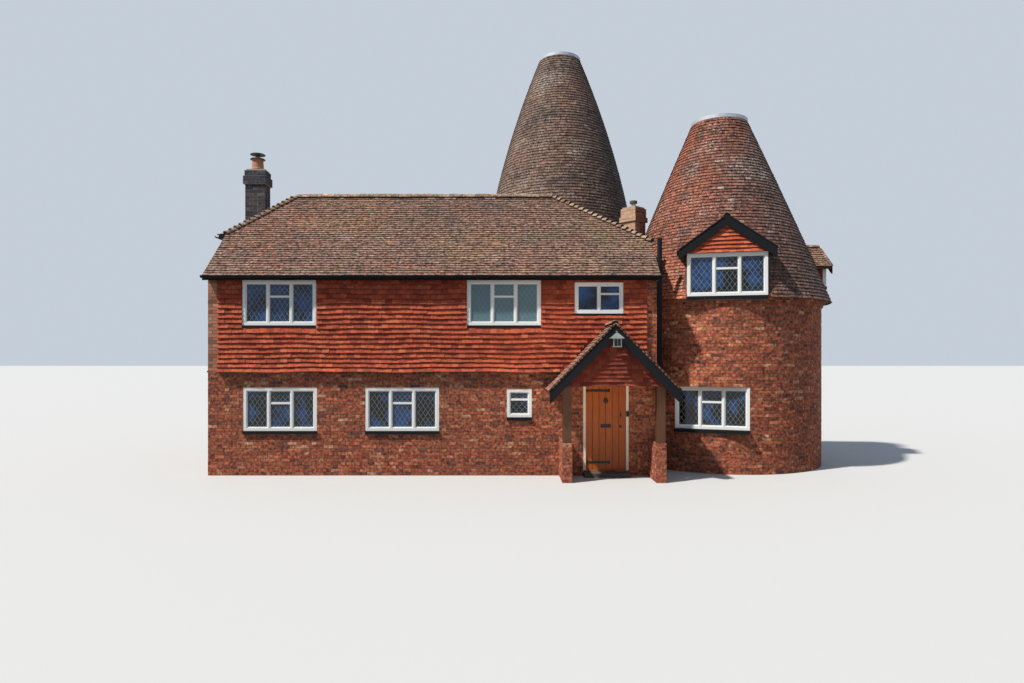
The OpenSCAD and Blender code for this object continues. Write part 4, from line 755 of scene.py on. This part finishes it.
# ---------------------------------------------------------------- tiles on flat slopes
def tiled_slope(pile, origin, across, up, width_at, length, keep=anywhere, tail_out=TAIL_OUT):
    """Rows of tiles from a lower edge. width_at(v) gives the row's left and right ends."""
    origin, across, up = (np.array(v, float) for v in (origin, across, up))
    out = np.cross(across, up)
    for row in range(int(length / ROOF_GAUGE) + 1):
        v = row * ROOF_GAUGE - tail_out
        lo, hi = width_at(max(v, 0.0))
        start = lo - TILE_W * (0.5 if row % 2 else 0.0)
        edges = np.arange(start, hi + TILE_W, TILE_W)
        a, b = np.clip(edges[:-1], lo, hi), np.clip(edges[1:], lo, hi)
        wide = (b - a) > LEAST_TILE
        a, b = a[wide], b[wide]
        tail = origin + across * ((a + b) / 2)[:, None] + up * v
        ok = keep(tail + up * ROOF_GAUGE * 0.5)
        tail, w = tail[ok], (b - a)[ok] - TILE_GAP
        reach = min(ROOF_GAUGE * ROOF_LAP, max(length - v, ROOF_GAUGE * LEAST_LAP))
        if len(tail):
            slabs(pile, tail, across[None], up[None], out[None], w, w, reach, TILE_T, ROOF_GAUGE)


def range_keep(p):
    return off_cones(p) & ~in_stack(p)


slope_len = ROOF_HY / math.cos(PITCH)
eave_z = WALL_H - EAVES * T(PITCH) + ROOF_T


def long_slope_width(v):
    """Left and right ends of a course of the long slopes, at a distance up from the eaves."""
    ends = []
    for side, ridge_x, hip_y, _ in HIPS:
        run = ROOF_HX - side * ridge_x
        start = (ROOF_HY - hip_y) / math.cos(PITCH)
        ends.append(side * (ROOF_HX - run * max(0.0, (v - start) / (slope_len - start))))
    return tuple(ends)


for name, way, width_at in (("front", 1, long_slope_width),
                            ("back", -1, lambda v: tuple(-x for x in long_slope_width(v))[::-1])):
    pile = Pile()
    tiled_slope(pile, (0, -way * ROOF_HY, eave_z), (way, 0, 0), (0, way * math.cos(PITCH), math.sin(PITCH)),
                width_at, slope_len, range_keep)
    pile.build("roof_tiles_" + name, M_ROOF, edge=TILE_SHADE_FACES)

pile = Pile()
for side, ridge_x, hip_y, hip_z in HIPS:
    run, rise = ROOF_HX - side * ridge_x, RIDGE_Z - hip_z
    length = math.hypot(run, rise)
    tiled_slope(pile, (side * ROOF_HX, 0, hip_z), (0, side, 0), (-side * run / length, 0, rise / length),
                lambda v, n=length, y=hip_y: (-y * (1 - v / n), y * (1 - v / n)), length, range_keep)
pile.build("roof_tiles_hips", M_ROOF, edge=TILE_SHADE_FACES)


# ---------------------------------------------------------------- tiles on the cones
def tiled_cone(pile, which, gauge):
    (ax, ay), cap, top, bulge = CONES[which]
    share = np.linspace(1, 0, 400)
    r = cone_radius(share, cap, bulge)
    z = top - (top - KILN_EAVES_Z) * share
    run = np.concatenate([[0], np.cumsum(np.hypot(np.diff(r), np.diff(z)))])
    for row in range(int(run[-1] / gauge) + 1):
        v = row * gauge - CONE_TAIL_OUT
        rr, zz = np.interp(v, run, r) - min(v, 0) * 0.4, np.interp(v, run, z) + min(v, 0) * 0.9
        ahead = min(max(v, 0) + gauge, run[-1])
        dr, dz = (np.interp(ahead, run, c) - np.interp(ahead - gauge, run, c) for c in (r, z))
        size = math.hypot(dr, dz)
        dr, dz = dr / size, dz / size
        count = max(12, round(2 * math.pi * rr / TILE_W))
        places = np.arange(count) + (0.5 if row % 2 else 0.0) + rng.normal(0, 0.02, count)
        radial, across = ring(places * 2 * math.pi / count)
        up = radial * dr + np.array([0, 0, dz])
        out = np.cross(across, up)
        tail = np.array([ax, ay, 0]) + radial * rr + np.array([0, 0, zz])
        centre = tail + up * gauge * 0.5
        ok = ~in_range(centre, 0.02)
        if which == "front":
            ok &= ~in_dormer(centre, 0.01)
        reach = min(gauge * CONE_LAP, max(run[-1] - v, gauge * LEAST_LAP))
        w0, w1 = (2 * math.pi * radius / count - CONE_TILE_GAP for radius in (rr, rr + dr * reach))
        slabs(pile, tail[ok], across[ok], up[ok], out[ok], w0, w1, reach, TILE_T, gauge)


for which, material in (("front", M_CONE), ("rear", M_REAR)):
    pile = Pile()
    tiled_cone(pile, which, CONE_GAUGE[which])
    pile.build(which + "_cone_tiles", material, edge=TILE_SHADE_FACES)


# ---------------------------------------------------------------- dormers and porch: roofs
def gable_roof(pile, m, middle, tiles_from, board, back, apex, span, pitch, reach, keep=anywhere):
    """Two small slopes from a ridge along y in the frame m, with the tile ends that show on both rakes."""
    rot, slant = m.to_3x3(), math.cos(pitch)
    for side in (-1, 1):
        foot = m @ Vector((middle + side * span, 0, apex - span * T(pitch)))
        across, up = rot @ Vector((0, side, 0)), rot @ Vector((-side * slant, 0, math.sin(pitch)))
        ends = (tiles_from, back) if side > 0 else (-back, -tiles_from)
        tiled_slope(pile, foot, across, up, lambda v, e=ends: e, span / slant, keep)
    for side in (-1, 1):
        slope = Vector((-side * slant, 0, math.sin(pitch)))
        rise = Vector((side * math.sin(pitch), 0, slant))
        foot = Vector((middle + side * span, board, apex - span * T(pitch)))
        for i in range(int(span / slant / ROOF_GAUGE)):
            edge_frame = Matrix((slope, (0, 1, 0), rise)).transposed().to_4x4()
            edge_frame = m @ Matrix.Translation(foot + slope * (i * ROOF_GAUGE + 0.004)) @ edge_frame
            pile.box((0, -VERGE_LIP, reach[0]), (ROOF_GAUGE - 0.012, 0.08, reach[1]), edge_frame)


def dormer_apex(d):
    """The top of a dormer's walls where they would meet."""
    return d["sill"] + d["win"] + d["rise"] + d["half"] * T(d["pitch"])


pile = Pile()
for d in DORMERS.values():
    front = -d["face"] - DORMER_VERGE
    gable_roof(pile, on_kiln(FRONT_KILN, d["turn"], 0, 0), 0, front, front - BARGE_T, -1.0,
               dormer_apex(d) + DORMER_T, d["span"], d["pitch"], (-0.006, 0.012),
               lambda p: ~in_cone(p, "front", -0.02))
pile.build("dormer_roof_tiles", M_ROOF, edge=TAIL_SHADE_FACES)

pile = Pile()
board = PORCH_FRONT - BARGE_T
gable_roof(pile, Matrix(), PORCH_X, board - VERGE_LIP, board, -HALF_D,
           PORCH_RIDGE, PORCH_SPAN, PORCH_PITCH, (-0.012, 0.016))
pile.build("porch_roof_tiles", M_PORCH_ROOF, edge=TAIL_SHADE_FACES)


# ---------------------------------------------------------------- hung tiles
def hung_wall(pile, m, profile, foot, top, width_at, gauge, wave, keep=anywhere, holes=()):
    """Hung tiles on an upright face in the frame m: x along it, -y outwards, profile(z) out to the bed."""
    z, row = foot, 0
    rot = m.to_3x3()
    across = np.array(rot @ Vector((1, 0, 0)))
    while z < top - LEAST_STRIP:
        level = min(z + gauge, top)
        up = np.array(rot @ Vector((0, profile(z) - profile(level), level - z)).normalized())
        out = np.cross(across, up)
        joints = np.arange(-12, 12, TILE_W) - TILE_W * (0.5 if row % 2 else 0.0)
        for u0, u1, t, h in cut_out((*width_at(z), z, level), holes, 0.0, LEAST_STRIP):
            inner = joints[(joints > u0 + LEAST_TILE) & (joints < u1 - LEAST_TILE)]
            edges = np.concatenate([[u0], inner, [u1]])
            a, b = edges[:-1], edges[1:]
            mid = (a + b) / 2
            sag = wave * (np.sin(mid * 1.9 + row * 0.35) + 0.6 * np.sin(mid * 4.3 + 1.7 + row * 0.2))
            sag = sag if t == z and h == level else 0 * sag
            tail = np.array([m @ Vector((x, -profile(t), t + e)) for x, e in zip(mid, sag)]).reshape(-1, 3)
            ok = keep(tail)
            w = (b - a)[ok] - TILE_GAP
            reach = min(gauge * HUNG_LAP, top + LEAST_STRIP - t) if h == level else h - t
            slabs(pile, tail[ok], across[None], up[None], out[None], w, w, reach, HUNG_TILE_T, gauge)
        z += gauge
        row += 1


def hung_profile(z):
    kick = max(0.0, 1 - (z - STOREY_Z) / HUNG_KICK_H)
    return HUNG_T + HUNG_KICK * kick ** 1.6 - HUNG_SUNK


def gable_width(apex, pitch, widest=math.inf):
    """A function that gives a gable's two ends at a height."""
    def ends(z):
        half = min(widest, (apex - z) / T(pitch) - 0.02)
        return (-half, half)
    return ends


pile = Pile()
wall_top = WALL_H - HUNG_T * T(PITCH)
long_half = HALF_L - QUOIN_W
end_width = gable_width(WALL_H + HALF_D * T(PITCH), PITCH, HALF_D - QUOIN_W)
for wall, top, width_at, keep in (
    ("front", wall_top, lambda z: (-long_half, long_half), lambda p: ~in_porch_roof(p, 0.02)),
    ("back", wall_top, lambda z: (-long_half, long_half), lambda p: ~in_cone(p, "rear", 0.02)),
    ("left", LEFT_HIP_Z - ROOF_T - 0.03, end_width, anywhere),
):
    hung_wall(pile, FACES[wall], hung_profile, STOREY_Z, top, width_at, HUNG_GAUGE, HUNG_WAVE, keep,
              window_holes(wall, APRON_H))
pile.build("hung_tiles", M_HUNG, edge=TILE_SHADE_FACES)

pile = Pile()
for d in DORMERS.values():
    m, apex = on_kiln(FRONT_KILN, d["turn"], d["face"], 0), dormer_apex(d)
    hung_wall(pile, m, lambda z: DORMER_GABLE_OUT, d["sill"] + d["win"] + 0.005, apex - GABLE_TOP_GAP,
              gable_width(apex, d["pitch"], d["half"]), GABLE_GAUGE, GABLE_WAVE)
pile.build("dormer_gable_tiles", M_GABLE_SUNLIT, edge=TILE_SHADE_FACES)

pile = Pile()
apex = PORCH_RIDGE - PORCH_T
hung_wall(pile, place(PORCH_X, PORCH_GABLE_Y, 0, 0), lambda z: PORCH_GABLE_OUT, PORCH_GABLE_Z - 0.01,
          apex - GABLE_TOP_GAP, gable_width(apex, PORCH_PITCH), GABLE_GAUGE, GABLE_WAVE)
pile.build("porch_gable_tiles", M_PORCH_GABLE_SHADED, edge=TILE_SHADE_FACES)


# ---------------------------------------------------------------- bricks
def course(row, foot, head):
    """Bed and top of one course, within a wall's foot and head."""
    bed = row * COURSE + JOINT / 2
    return max(bed, foot), min(bed + BRICK_H, head)


def brick_ends(u, span, sizes):
    """Ends of the bricks of one course that starts at u, within a span about the middle."""
    while u < span / 2:
        for size in sizes:
            lo, hi = max(u, -span / 2), min(u + size, span / 2)
            if hi - lo > LEAST_BRICK:
                yield lo, hi
            u += size + JOINT


def bond(length, height, first=0.0, holes=()):
    """Flemish bond as rectangles (u0, u1, z0, z1) over one face, less some holes."""
    period = BRICK_L + BRICK_D + 2 * JOINT
    rects = []
    for row in range(int(height / COURSE) + 1):
        b, t = course(row, 0, height)
        if t - b < LEAST_COURSE:
            continue
        u = -length / 2 - period * (0.5 if row % 2 else 0.0) - first
        for lo, hi in brick_ends(u, length, (BRICK_L, BRICK_D)):
            rects += cut_out((lo, hi, b, t), holes, LEAST_BRICK, LEAST_COURSE)
    return rects


def brick_face(pile, m, rects, keep=anywhere):
    """Bricks as low blocks on an upright face in the frame m: x along it, -y outwards."""
    if not rects:
        return
    r = np.array(rects)
    r = r[keep(np.array([m @ Vector(((a + b) / 2, 0, (c + d) / 2)) for a, b, c, d in rects]))]
    n = len(r)
    if not n:
        return
    u0, u1, z0, z1 = (r + rng.normal(0, RAGGED, (n, 4))).T
    out = PROUD + rng.normal(0, UNEVEN, n)
    corners = [np.stack(np.broadcast_arrays(u, y, z), 1)
               for z in (z0, z1) for u, y in ((u0, -out), (u1, -out), (u1, SUNK), (u0, SUNK))]
    mat = np.array(m)
    pile.add(np.stack(corners, 1) @ mat[:3, :3].T + mat[:3, 3])


def under_verge(p):
    roof = WALL_H + (HALF_D - np.abs(p[:, 1])) * T(PITCH)
    return p[:, 2] < np.minimum(RIGHT_HIP_Z - ROOF_T, roof) - 0.02


pile = Pile()
door_hole = (DOOR_X - DOORWAY_HALF, DOOR_X + DOORWAY_HALF, FLOOR_Z, DOORWAY_TOP)
for wall, half, height, first, keep in (
    ("front", HALF_L, STOREY_Z, 0.0, anywhere),
    ("back", HALF_L, STOREY_Z, 0.0, off_kilns),
    ("left", HALF_D, STOREY_Z, END_SHIFT, anywhere),
    ("right", HALF_D, RIGHT_HIP_Z - ROOF_T, END_SHIFT, lambda p: off_kilns(p) & under_verge(p)),
):
    holes = [hole for hole in window_holes(wall, SILL_H) if hole[2] < STOREY_Z]
    holes += [door_hole] if wall == "front" else []
    brick_face(pile, FACES[wall], bond(2 * (half + PROUD), height, first, holes), keep)
pile.build("range_bricks_lower", M_BRICK)

pile, red = Pile(), Pile()
for wall, half in (("front", HALF_L), ("back", HALF_L), ("left", HALF_D)):
    m = FACES[wall]
    outer, inner = half + PROUD, half - QUOIN_W + 0.004
    for side in (-1, 1):
        right_end = (m @ Vector((side * half, 0, 0))).x > 0
        rects = []
        for row in range(int(STOREY_Z / COURSE), int(WALL_H / COURSE)):
            b, t = course(row, STOREY_Z, WALL_H)
            if t - b < LEAST_COURSE:
                continue
            split = outer - (BRICK_L if row % 2 else BRICK_D)
            for lo, hi in ((split, outer), (inner, split - JOINT)):
                if hi - lo > LEAST_QUOIN:
                    rects.append((lo, hi, b, t) if side > 0 else (-hi, -lo, b, t))
        brick_face(red if right_end else pile, m, rects, off_kilns)
pile.build("quoin_bricks_left", M_QUOIN)
red.build("quoin_bricks_right", M_BRICK)


def kiln_bricks(pile, axis, r, levels, window_turn, keep, sizes):
    """Courses round a kiln; levels are (foot, head) of each; bricks are cut to the window's opening."""
    count = round(2 * math.pi * r / (sum(sizes) + JOINT * len(sizes)))
    middle, half = R(window_turn - 90), math.asin(WIN_W / 2 / r)
    hole_foot = LOW_SILL - SILL_H
    for row, (b, t) in enumerate(levels):
        start = np.arange(count) * 2 * math.pi / count + (math.pi / count if row % 2 else 0.0)
        for size in sizes:
            t0, t1 = start, start + (size + rng.normal(0, UNEVEN, count)) / r
            start = start + (size + JOINT) / r
            parts = [(t0, t1, b, t)]
            if t > hole_foot and b < HEAD_LOW:
                shift = middle + 2 * math.pi * np.round(((t0 + t1) / 2 - middle) / (2 * math.pi))
                left, right = shift - half, shift + half
                parts = [(t0, np.minimum(t1, left), b, t), (np.maximum(t0, right), t1, b, t)]
                within = (np.maximum(t0, left), np.minimum(t1, right))
                parts += [(*within, HEAD_LOW, t)] if t - HEAD_LOW > LEAST_COURSE else []
                parts += [(*within, b, hole_foot)] if hole_foot - b > LEAST_COURSE else []
            for p0, p1, foot, head in parts:
                wide = (p1 - p0) * r > LEAST_BRICK
                w = ((p1 - p0) * r)[wide]
                radial, across = ring(((p0 + p1) / 2)[wide])
                centre = np.array([*axis, (foot + head) / 2]) + radial * r
                ok = ~((np.abs(centre[:, 0]) < HALF_L) & (np.abs(centre[:, 1]) < HALF_D + HUNG_T + 0.02))
                ok &= keep(centre)
                w, radial, across, centre = w[ok, None] / 2, radial[ok], across[ok], centre[ok]
                face = centre + radial * (PROUD + rng.normal(0, UNEVEN, (len(w), 1)))
                base = centre - radial * KILN_SUNK
                up = np.array([0, 0, (head - foot) / 2])
                flat = [face - across * w, base - across * w, base + across * w, face + across * w]
                pile.add(np.stack([p - up for p in flat] + [p + up for p in flat], axis=1))


plain_top = KILN_EAVES_Z - 2 * KILN_COURSE
plain_rows = round(plain_top / COURSE)
step = plain_top / plain_rows
levels = [(i * step + JOINT / 2, (i + 1) * step - JOINT / 2) for i in range(plain_rows)]
for label, axis, keep in (("front", FRONT_KILN, lambda p: ~in_dormer(p, 0.01)),
                          ("rear", REAR_KILN, anywhere)):
    pile = Pile()
    turn = KILN_WINDOWS[label]
    kiln_bricks(pile, axis, KILN_R, levels, turn, keep, (BRICK_L, BRICK_D))
    for k in (1, 2):
        z = plain_top + (k - 1) * KILN_COURSE
        level = (z + JOINT / 2, z + KILN_COURSE - 0.003)
        kiln_bricks(pile, axis, KILN_R + k * KILN_CORBEL, [level], turn, keep, (BRICK_D,))
    pile.build(label + "_kiln_bricks", M_BRICK)


def stack_courses(span, z0, z1, side):
    """One face of a stack as rectangles; headers and stretchers change places from side to side."""
    rects = []
    rows = max(1, round((z1 - z0) / COURSE))
    for row in range(rows):
        b = z0 + row * (z1 - z0) / rows + JOINT / 2
        t = b + (z1 - z0) / rows - JOINT
        sizes = (BRICK_L, BRICK_D) if (row + side) % 2 else (BRICK_D, BRICK_L)
        rects += [(lo, hi, b, t) for lo, hi in brick_ends(-span / 2, span, sizes)]
    return rects


for name, s, material in (("left", STACK_L, M_STACK), ("right", STACK_R, M_PALE)):
    pile = Pile()
    crown_top = s["top"] - FLAUNCH
    crown_foot = crown_top - s["crown"]
    shaft_top = crown_foot - s["band"]
    for grow, z0, z1 in ((0.0, STACK_SEAT, shaft_top), (BAND_OUT, shaft_top, crown_foot),
                         (CROWN_OUT, crown_foot, crown_top)):
        for side in range(4):
            across, deep = (s["d"], s["w"]) if side % 2 else (s["w"], s["d"])
            m = place(s["x"], s["y"], 0, s["turn"]) @ place(0, 0, 0, 90 * side)
            m = m @ Matrix.Translation((0, -deep / 2 - grow, 0))
            rects = stack_courses(across + 2 * grow + 2 * PROUD, z0, z1, side)
            brick_face(pile, m, rects, lambda p: ~in_range(p, -0.03))
    pile.build(name + "_stack_bricks", material)

pile = Pile()
for side in (-1, 1):
    x, half = PORCH_X + side * PORCH_POST, DWARF_T / 2
    y0, y1 = POST_Y - half, -HALF_D
    mid, deep = (y0 + y1) / 2, y1 - y0
    for m, w in ((place(x, y0, 0, 0), DWARF_T + 2 * PROUD), (place(x - half, mid, 0, -90), deep),
                 (place(x + half, mid, 0, 90), deep)):
        brick_face(pile, m, bond(w, DWARF_H - BRICK_H - SUNK, PORCH_SHIFT))
    for i in range(int(deep / COURSE)):
        y = y0 - PROUD + i * COURSE
        pile.box((x - half - PROUD, y, DWARF_H - BRICK_H), (x + half + PROUD, y + BRICK_H, DWARF_H + SUNK))
pile.build("porch_dwarf_bricks", M_BRICK)

# ---------------------------------------------------------------- ridge, bonnets and hips
covers, bedding = Loose(), Pile()
ridge_len = RIDGE_RIGHT - RIDGE_LEFT
count = round(ridge_len / RIDGE_STEP)
for i in range(count):
    aside, lift = rng.normal(0, 0.003), rng.normal(0, 0.003)
    tail = (RIDGE_LEFT + i * ridge_len / count + 0.004, aside, RIDGE_Z - RIDGE_SEAT + lift)
    arc_tile(covers, tail, (1, 0, 0), (0, 0, 1), RIDGE_R, RIDGE_R, ridge_len / count - 0.012, R(78))
bedding.box((RIDGE_LEFT, -0.05, RIDGE_Z - 0.06), (RIDGE_RIGHT, 0.05, RIDGE_Z + 0.05))
for i in range(count):
    for side in (-1, 1):
        if rng.random() < BEDDING_SHARE:
            x = RIDGE_LEFT + (i + rng.random()) * ridge_len / count
            low, wide = 0.105 + 0.03 * rng.random(), 0.08 + 0.2 * rng.random()
            near, far = sorted((side * 0.02, side * 0.118))
            bedding.box((x, near, RIDGE_Z - low), (min(x + wide, RIDGE_RIGHT), far, RIDGE_Z - 0.06))
for side, ridge_x, hip_y, hip_z in HIPS:
    for hand in (-1, 1):
        low = Vector((side * ROOF_HX, hand * hip_y, hip_z))
        line = Vector((ridge_x, 0, RIDGE_Z)) - low
        d = line.normalized()
        steps = int(line.length / BONNET_STEP)
        for k in range(steps):
            p = low + d * (k * line.length / steps - 0.02)
            if side > 0 and in_cone(np.array([p]), "front")[0]:
                continue
            tail, tipped = p + Vector((0, 0, -BONNET_SEAT)), d + Vector((0, 0, -BONNET_TIP))
            arc_tile(covers, tail, tipped, (0, 0, 1), BONNET_R0, BONNET_R1, BONNET_L, R(72))
cover_obj = covers.build("ridge_and_bonnet_covers", M_RIDGE)
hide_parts("ridge_and_hip_tiles")
bedding.build("ridge_bedding", M_MORTAR)


def ridge_row(covers, m, x, z, front, back, count, radius, spread):
    """Curved covers of a small ridge that runs along y in the frame m."""
    step = (back - front) / count
    for i in range(count):
        arc_tile(covers, m @ Vector((x, front + i * step, z)), m.to_3x3() @ Vector((0, 1, 0)), (0, 0, 1),
                 radius, radius, step - COVER_GAP, spread, SMALL_COVER_T)


covers = Loose()
for d in DORMERS.values():
    apex, front = dormer_apex(d) + DORMER_T, -d["face"] - DORMER_VERGE
    _, cap, top, _ = CONES["front"]
    back = -(KILN_EAVES_R - (apex - KILN_EAVES_Z) * (KILN_EAVES_R - cap) / (top - KILN_EAVES_Z))
    ridge_row(covers, on_kiln(FRONT_KILN, d["turn"], 0, 0), 0, apex - 0.03, front, back,
              max(2, round((back - front) / 0.3)), 0.09, R(75))
ridge_row(covers, Matrix(), PORCH_X, PORCH_RIDGE - 0.035, PORCH_FRONT, -HALF_D, 4, 0.1, R(72))
covers.build("small_ridge_covers", M_RIDGE)

# ---------------------------------------------------------------- boxed eaves of the left half-hip
out_x, half, hip_z = -ROOF_HX - HIP_EAVES_OUT, LEFT_HIP_Y - 0.02, LEFT_HIP_Z
pile = Pile()
pile.box((out_x, -half, hip_z - 0.12), (-ROOF_HX + 0.02, half, hip_z - 0.015))
pile.build("half_hip_soffit", M_BLACK)
pile = Pile()
length = HIP_EAVES_OUT + HIP_TILES_OUT
tilt = math.atan2(0.03, length)
tiled_slope(pile, (out_x - HIP_TILES_OUT, 0, hip_z - 0.01), (0, -1, 0), (math.cos(tilt), 0, math.sin(tilt)),
            lambda v: (-half, half), length, tail_out=0.0)
pile.build("half_hip_eaves_tiles", M_ROOF, edge=TILE_SHADE_FACES)
trough = Loose()
arc_tile(trough, (out_x - HIP_GUTTER_R, -half, hip_z - 0.045), (0, 1, 0), (0, 0, -1),
         HIP_GUTTER_R, HIP_GUTTER_R, 2 * half, R(88), HIP_GUTTER_T, 12)
trough.build("half_hip_gutter", M_BLACK)

# ---------------------------------------------------------------- leaded lights
pile = Pile()
for i, (_, m, w, h, lights) in enumerate(WINDOWS):
    if i != CLEAR_WINDOW:
        for pane in panes(w, h, lights):
            lattice(pile, m, *pane)
pile.build("leaded_lattice", M_LEAD)

# ---------------------------------------------------------------- front door
pile = Pile()
for i in range(PLANKS):
    a = DOOR_LEFT + i * DOOR_W / PLANKS
    b = a + DOOR_W / PLANKS
    a, b = a + (PLANK_GAP if i else 0), b - (PLANK_GAP if i < PLANKS - 1 else 0)
    pile.box((a, DOOR_Y, DOOR_Z), (b, DOOR_Y + PLANK_T, DOOR_Z + DOOR_H), tone=rng.random())
for z in LEDGES:
    high = (DOOR_RIGHT - 0.02, DOOR_Y + DOOR_T, DOOR_Z + z + LEDGE_H)
    pile.box((DOOR_LEFT + 0.02, DOOR_Y + 0.029, DOOR_Z + z), high, tone=0.4)
door = pile.build("door_planks", M_DOOR, "door_leaf")
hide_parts("front_door")
pile = Pile()
pile.box((DOOR_LEFT, DOOR_Y + 0.012, DOOR_Z), (DOOR_RIGHT, DOOR_Y + 0.03, DOOR_Z + DOOR_H))
pile.build("door_backing", M_BED, "door_leaf")

iron = Pile()
left = DOOR_LEFT + 0.006
for z in (DOOR_Z + height for height in STRAPS):
    for along_leaf, half, wide in ((0.02, 0.065, 0.018), (0.47, 0.06, 0.014), (0.54, 0.045, 0.014)):
        x = left + along_leaf
        iron.box((x - wide / 2, DOOR_Y - 0.005, z - half), (x + wide / 2, DOOR_Y + 0.001, z + half))
    for i in range(STUDS):
        x = left + 0.07 + i * STUD_STEP
        iron.box((x - STUD_HALF, DOOR_Y - 0.011, z - STUD_HALF), (x + STUD_HALF, DOOR_Y, z + STUD_HALF))
iron.box((DOOR_RIGHT - 0.125, DOOR_Y - 0.018, DOOR_Z + 1.24), (DOOR_RIGHT - 0.105, DOOR_Y, DOOR_Z + 1.38))
iron.build("strap_ends_and_studs", M_IRON, "door_leaf")
keeper = Pile()
x = DOOR_RIGHT + 0.04
keeper.box((x - 0.028, -HALF_D - 0.035, DOOR_Z + 1.27), (x + 0.034, -HALF_D + 0.002, DOOR_Z + 1.40))
keeper.box((x - 0.018, -HALF_D - 0.06, DOOR_Z + 1.30), (x + 0.022, -HALF_D - 0.03, DOOR_Z + 1.36))
keeper.build("door_keeper", M_IRON)

# ---------------------------------------------------------------- porch lantern's glass
foot = PORCH_RIDGE - BARGE_H / math.cos(PORCH_PITCH) / 2 - LANTERN_DROP - LANTERN_H
lantern = place(PORCH_X, PORCH_FRONT - BARGE_T - LANTERN_W, foot, 0)
panels = Pile()
for side in range(4):
    m = lantern @ place(0, 0, 0, 90 * side)
    for x in (-0.036, 0.036):
        panels.box((x - 0.031, -LANTERN_W / 2 - 0.003, 0.022), (x + 0.031, -LANTERN_W / 2 + 0.004, 0.17), m)
panels.build("lantern_glass", M_GLASS)


# ---------------------------------------------------------------- floor, light and camera
def seen_directly(t):
    """One for rays that show the surface itself, nought for the ones that only spread its light."""
    path = t.node("ShaderNodeLightPath", {})
    some = t.calc("MAXIMUM", path["Is Camera Ray"], path["Is Glossy Ray"])
    return t.calc("MAXIMUM", some, path["Is Transmission Ray"])


def aim(direction):
    return Vector(direction).to_track_quat("-Z", "Y").to_euler()


FLOOR_HALF, FLOOR_UNDER = 300.0, -0.003
mesh = bpy.data.meshes.new("studio_floor")
corners = [(x * FLOOR_HALF, y * FLOOR_HALF, FLOOR_UNDER) for x, y in ((-1, -1), (1, -1), (1, 1), (-1, 1))]
mesh.from_pydata(corners, [], [(0, 1, 2, 3)])
floor = add_object("studio_floor", mesh)
t = new_material("pale_floor")
mesh.materials.append(t.surface(t.mix(seen_directly(t), (0.19, 0.175, 0.155), (0.56, 0.56, 0.55)), 0.95))

world = bpy.data.worlds.new("studio_world")
bpy.context.scene.world = world
t = Nodes(world)
sky = t.mix(seen_directly(t), (0.27, 0.33, 0.42), (0.56, 0.62, 0.69))
t.feed(t.tree.nodes["Background"], {"Color": sky, "Strength": 1.0})

sun = bpy.data.lights.new("key", "SUN")
sun.energy = 4.7
sun.angle = R(2.5)
sun.color = (1.0, 0.955, 0.89)
add_object("key", sun).rotation_euler = aim((0.66, 0.36, -1.0))

bounce = bpy.data.lights.new("bounce", "AREA")
bounce.shape = "RECTANGLE"
bounce.size, bounce.size_y = 2.4, 1.6
bounce.energy = 19.0
bounce.spread = R(62)
bounce.color = (1.0, 0.82, 0.62)
low = add_object("bounce", bounce)
low.location = (PORCH_X - 0.2, -7.2, 0.35)
low.rotation_euler = aim((0.0, 1.0, 0.5))
low.visible_camera = low.visible_glossy = False

FOCAL_PX, HORIZON, WIDTH, HEIGHT, SENSOR = 680.0, 360.0, 1024, 683, 36.0
camera_data = bpy.data.cameras.new("camera")
camera_data.sensor_fit = "HORIZONTAL"
camera_data.sensor_width = SENSOR
camera_data.lens = FOCAL_PX * SENSOR / WIDTH
camera_data.shift_y = (HORIZON - HEIGHT / 2) / WIDTH
camera_data.clip_end = 900.0
camera = add_object("camera", camera_data)
camera.location = (1.89, -18.75, 2.74)
camera.rotation_euler = (R(90), 0, 0)
bpy.context.scene.camera = camera
bpy.context.scene.view_settings.view_transform = "Standard"
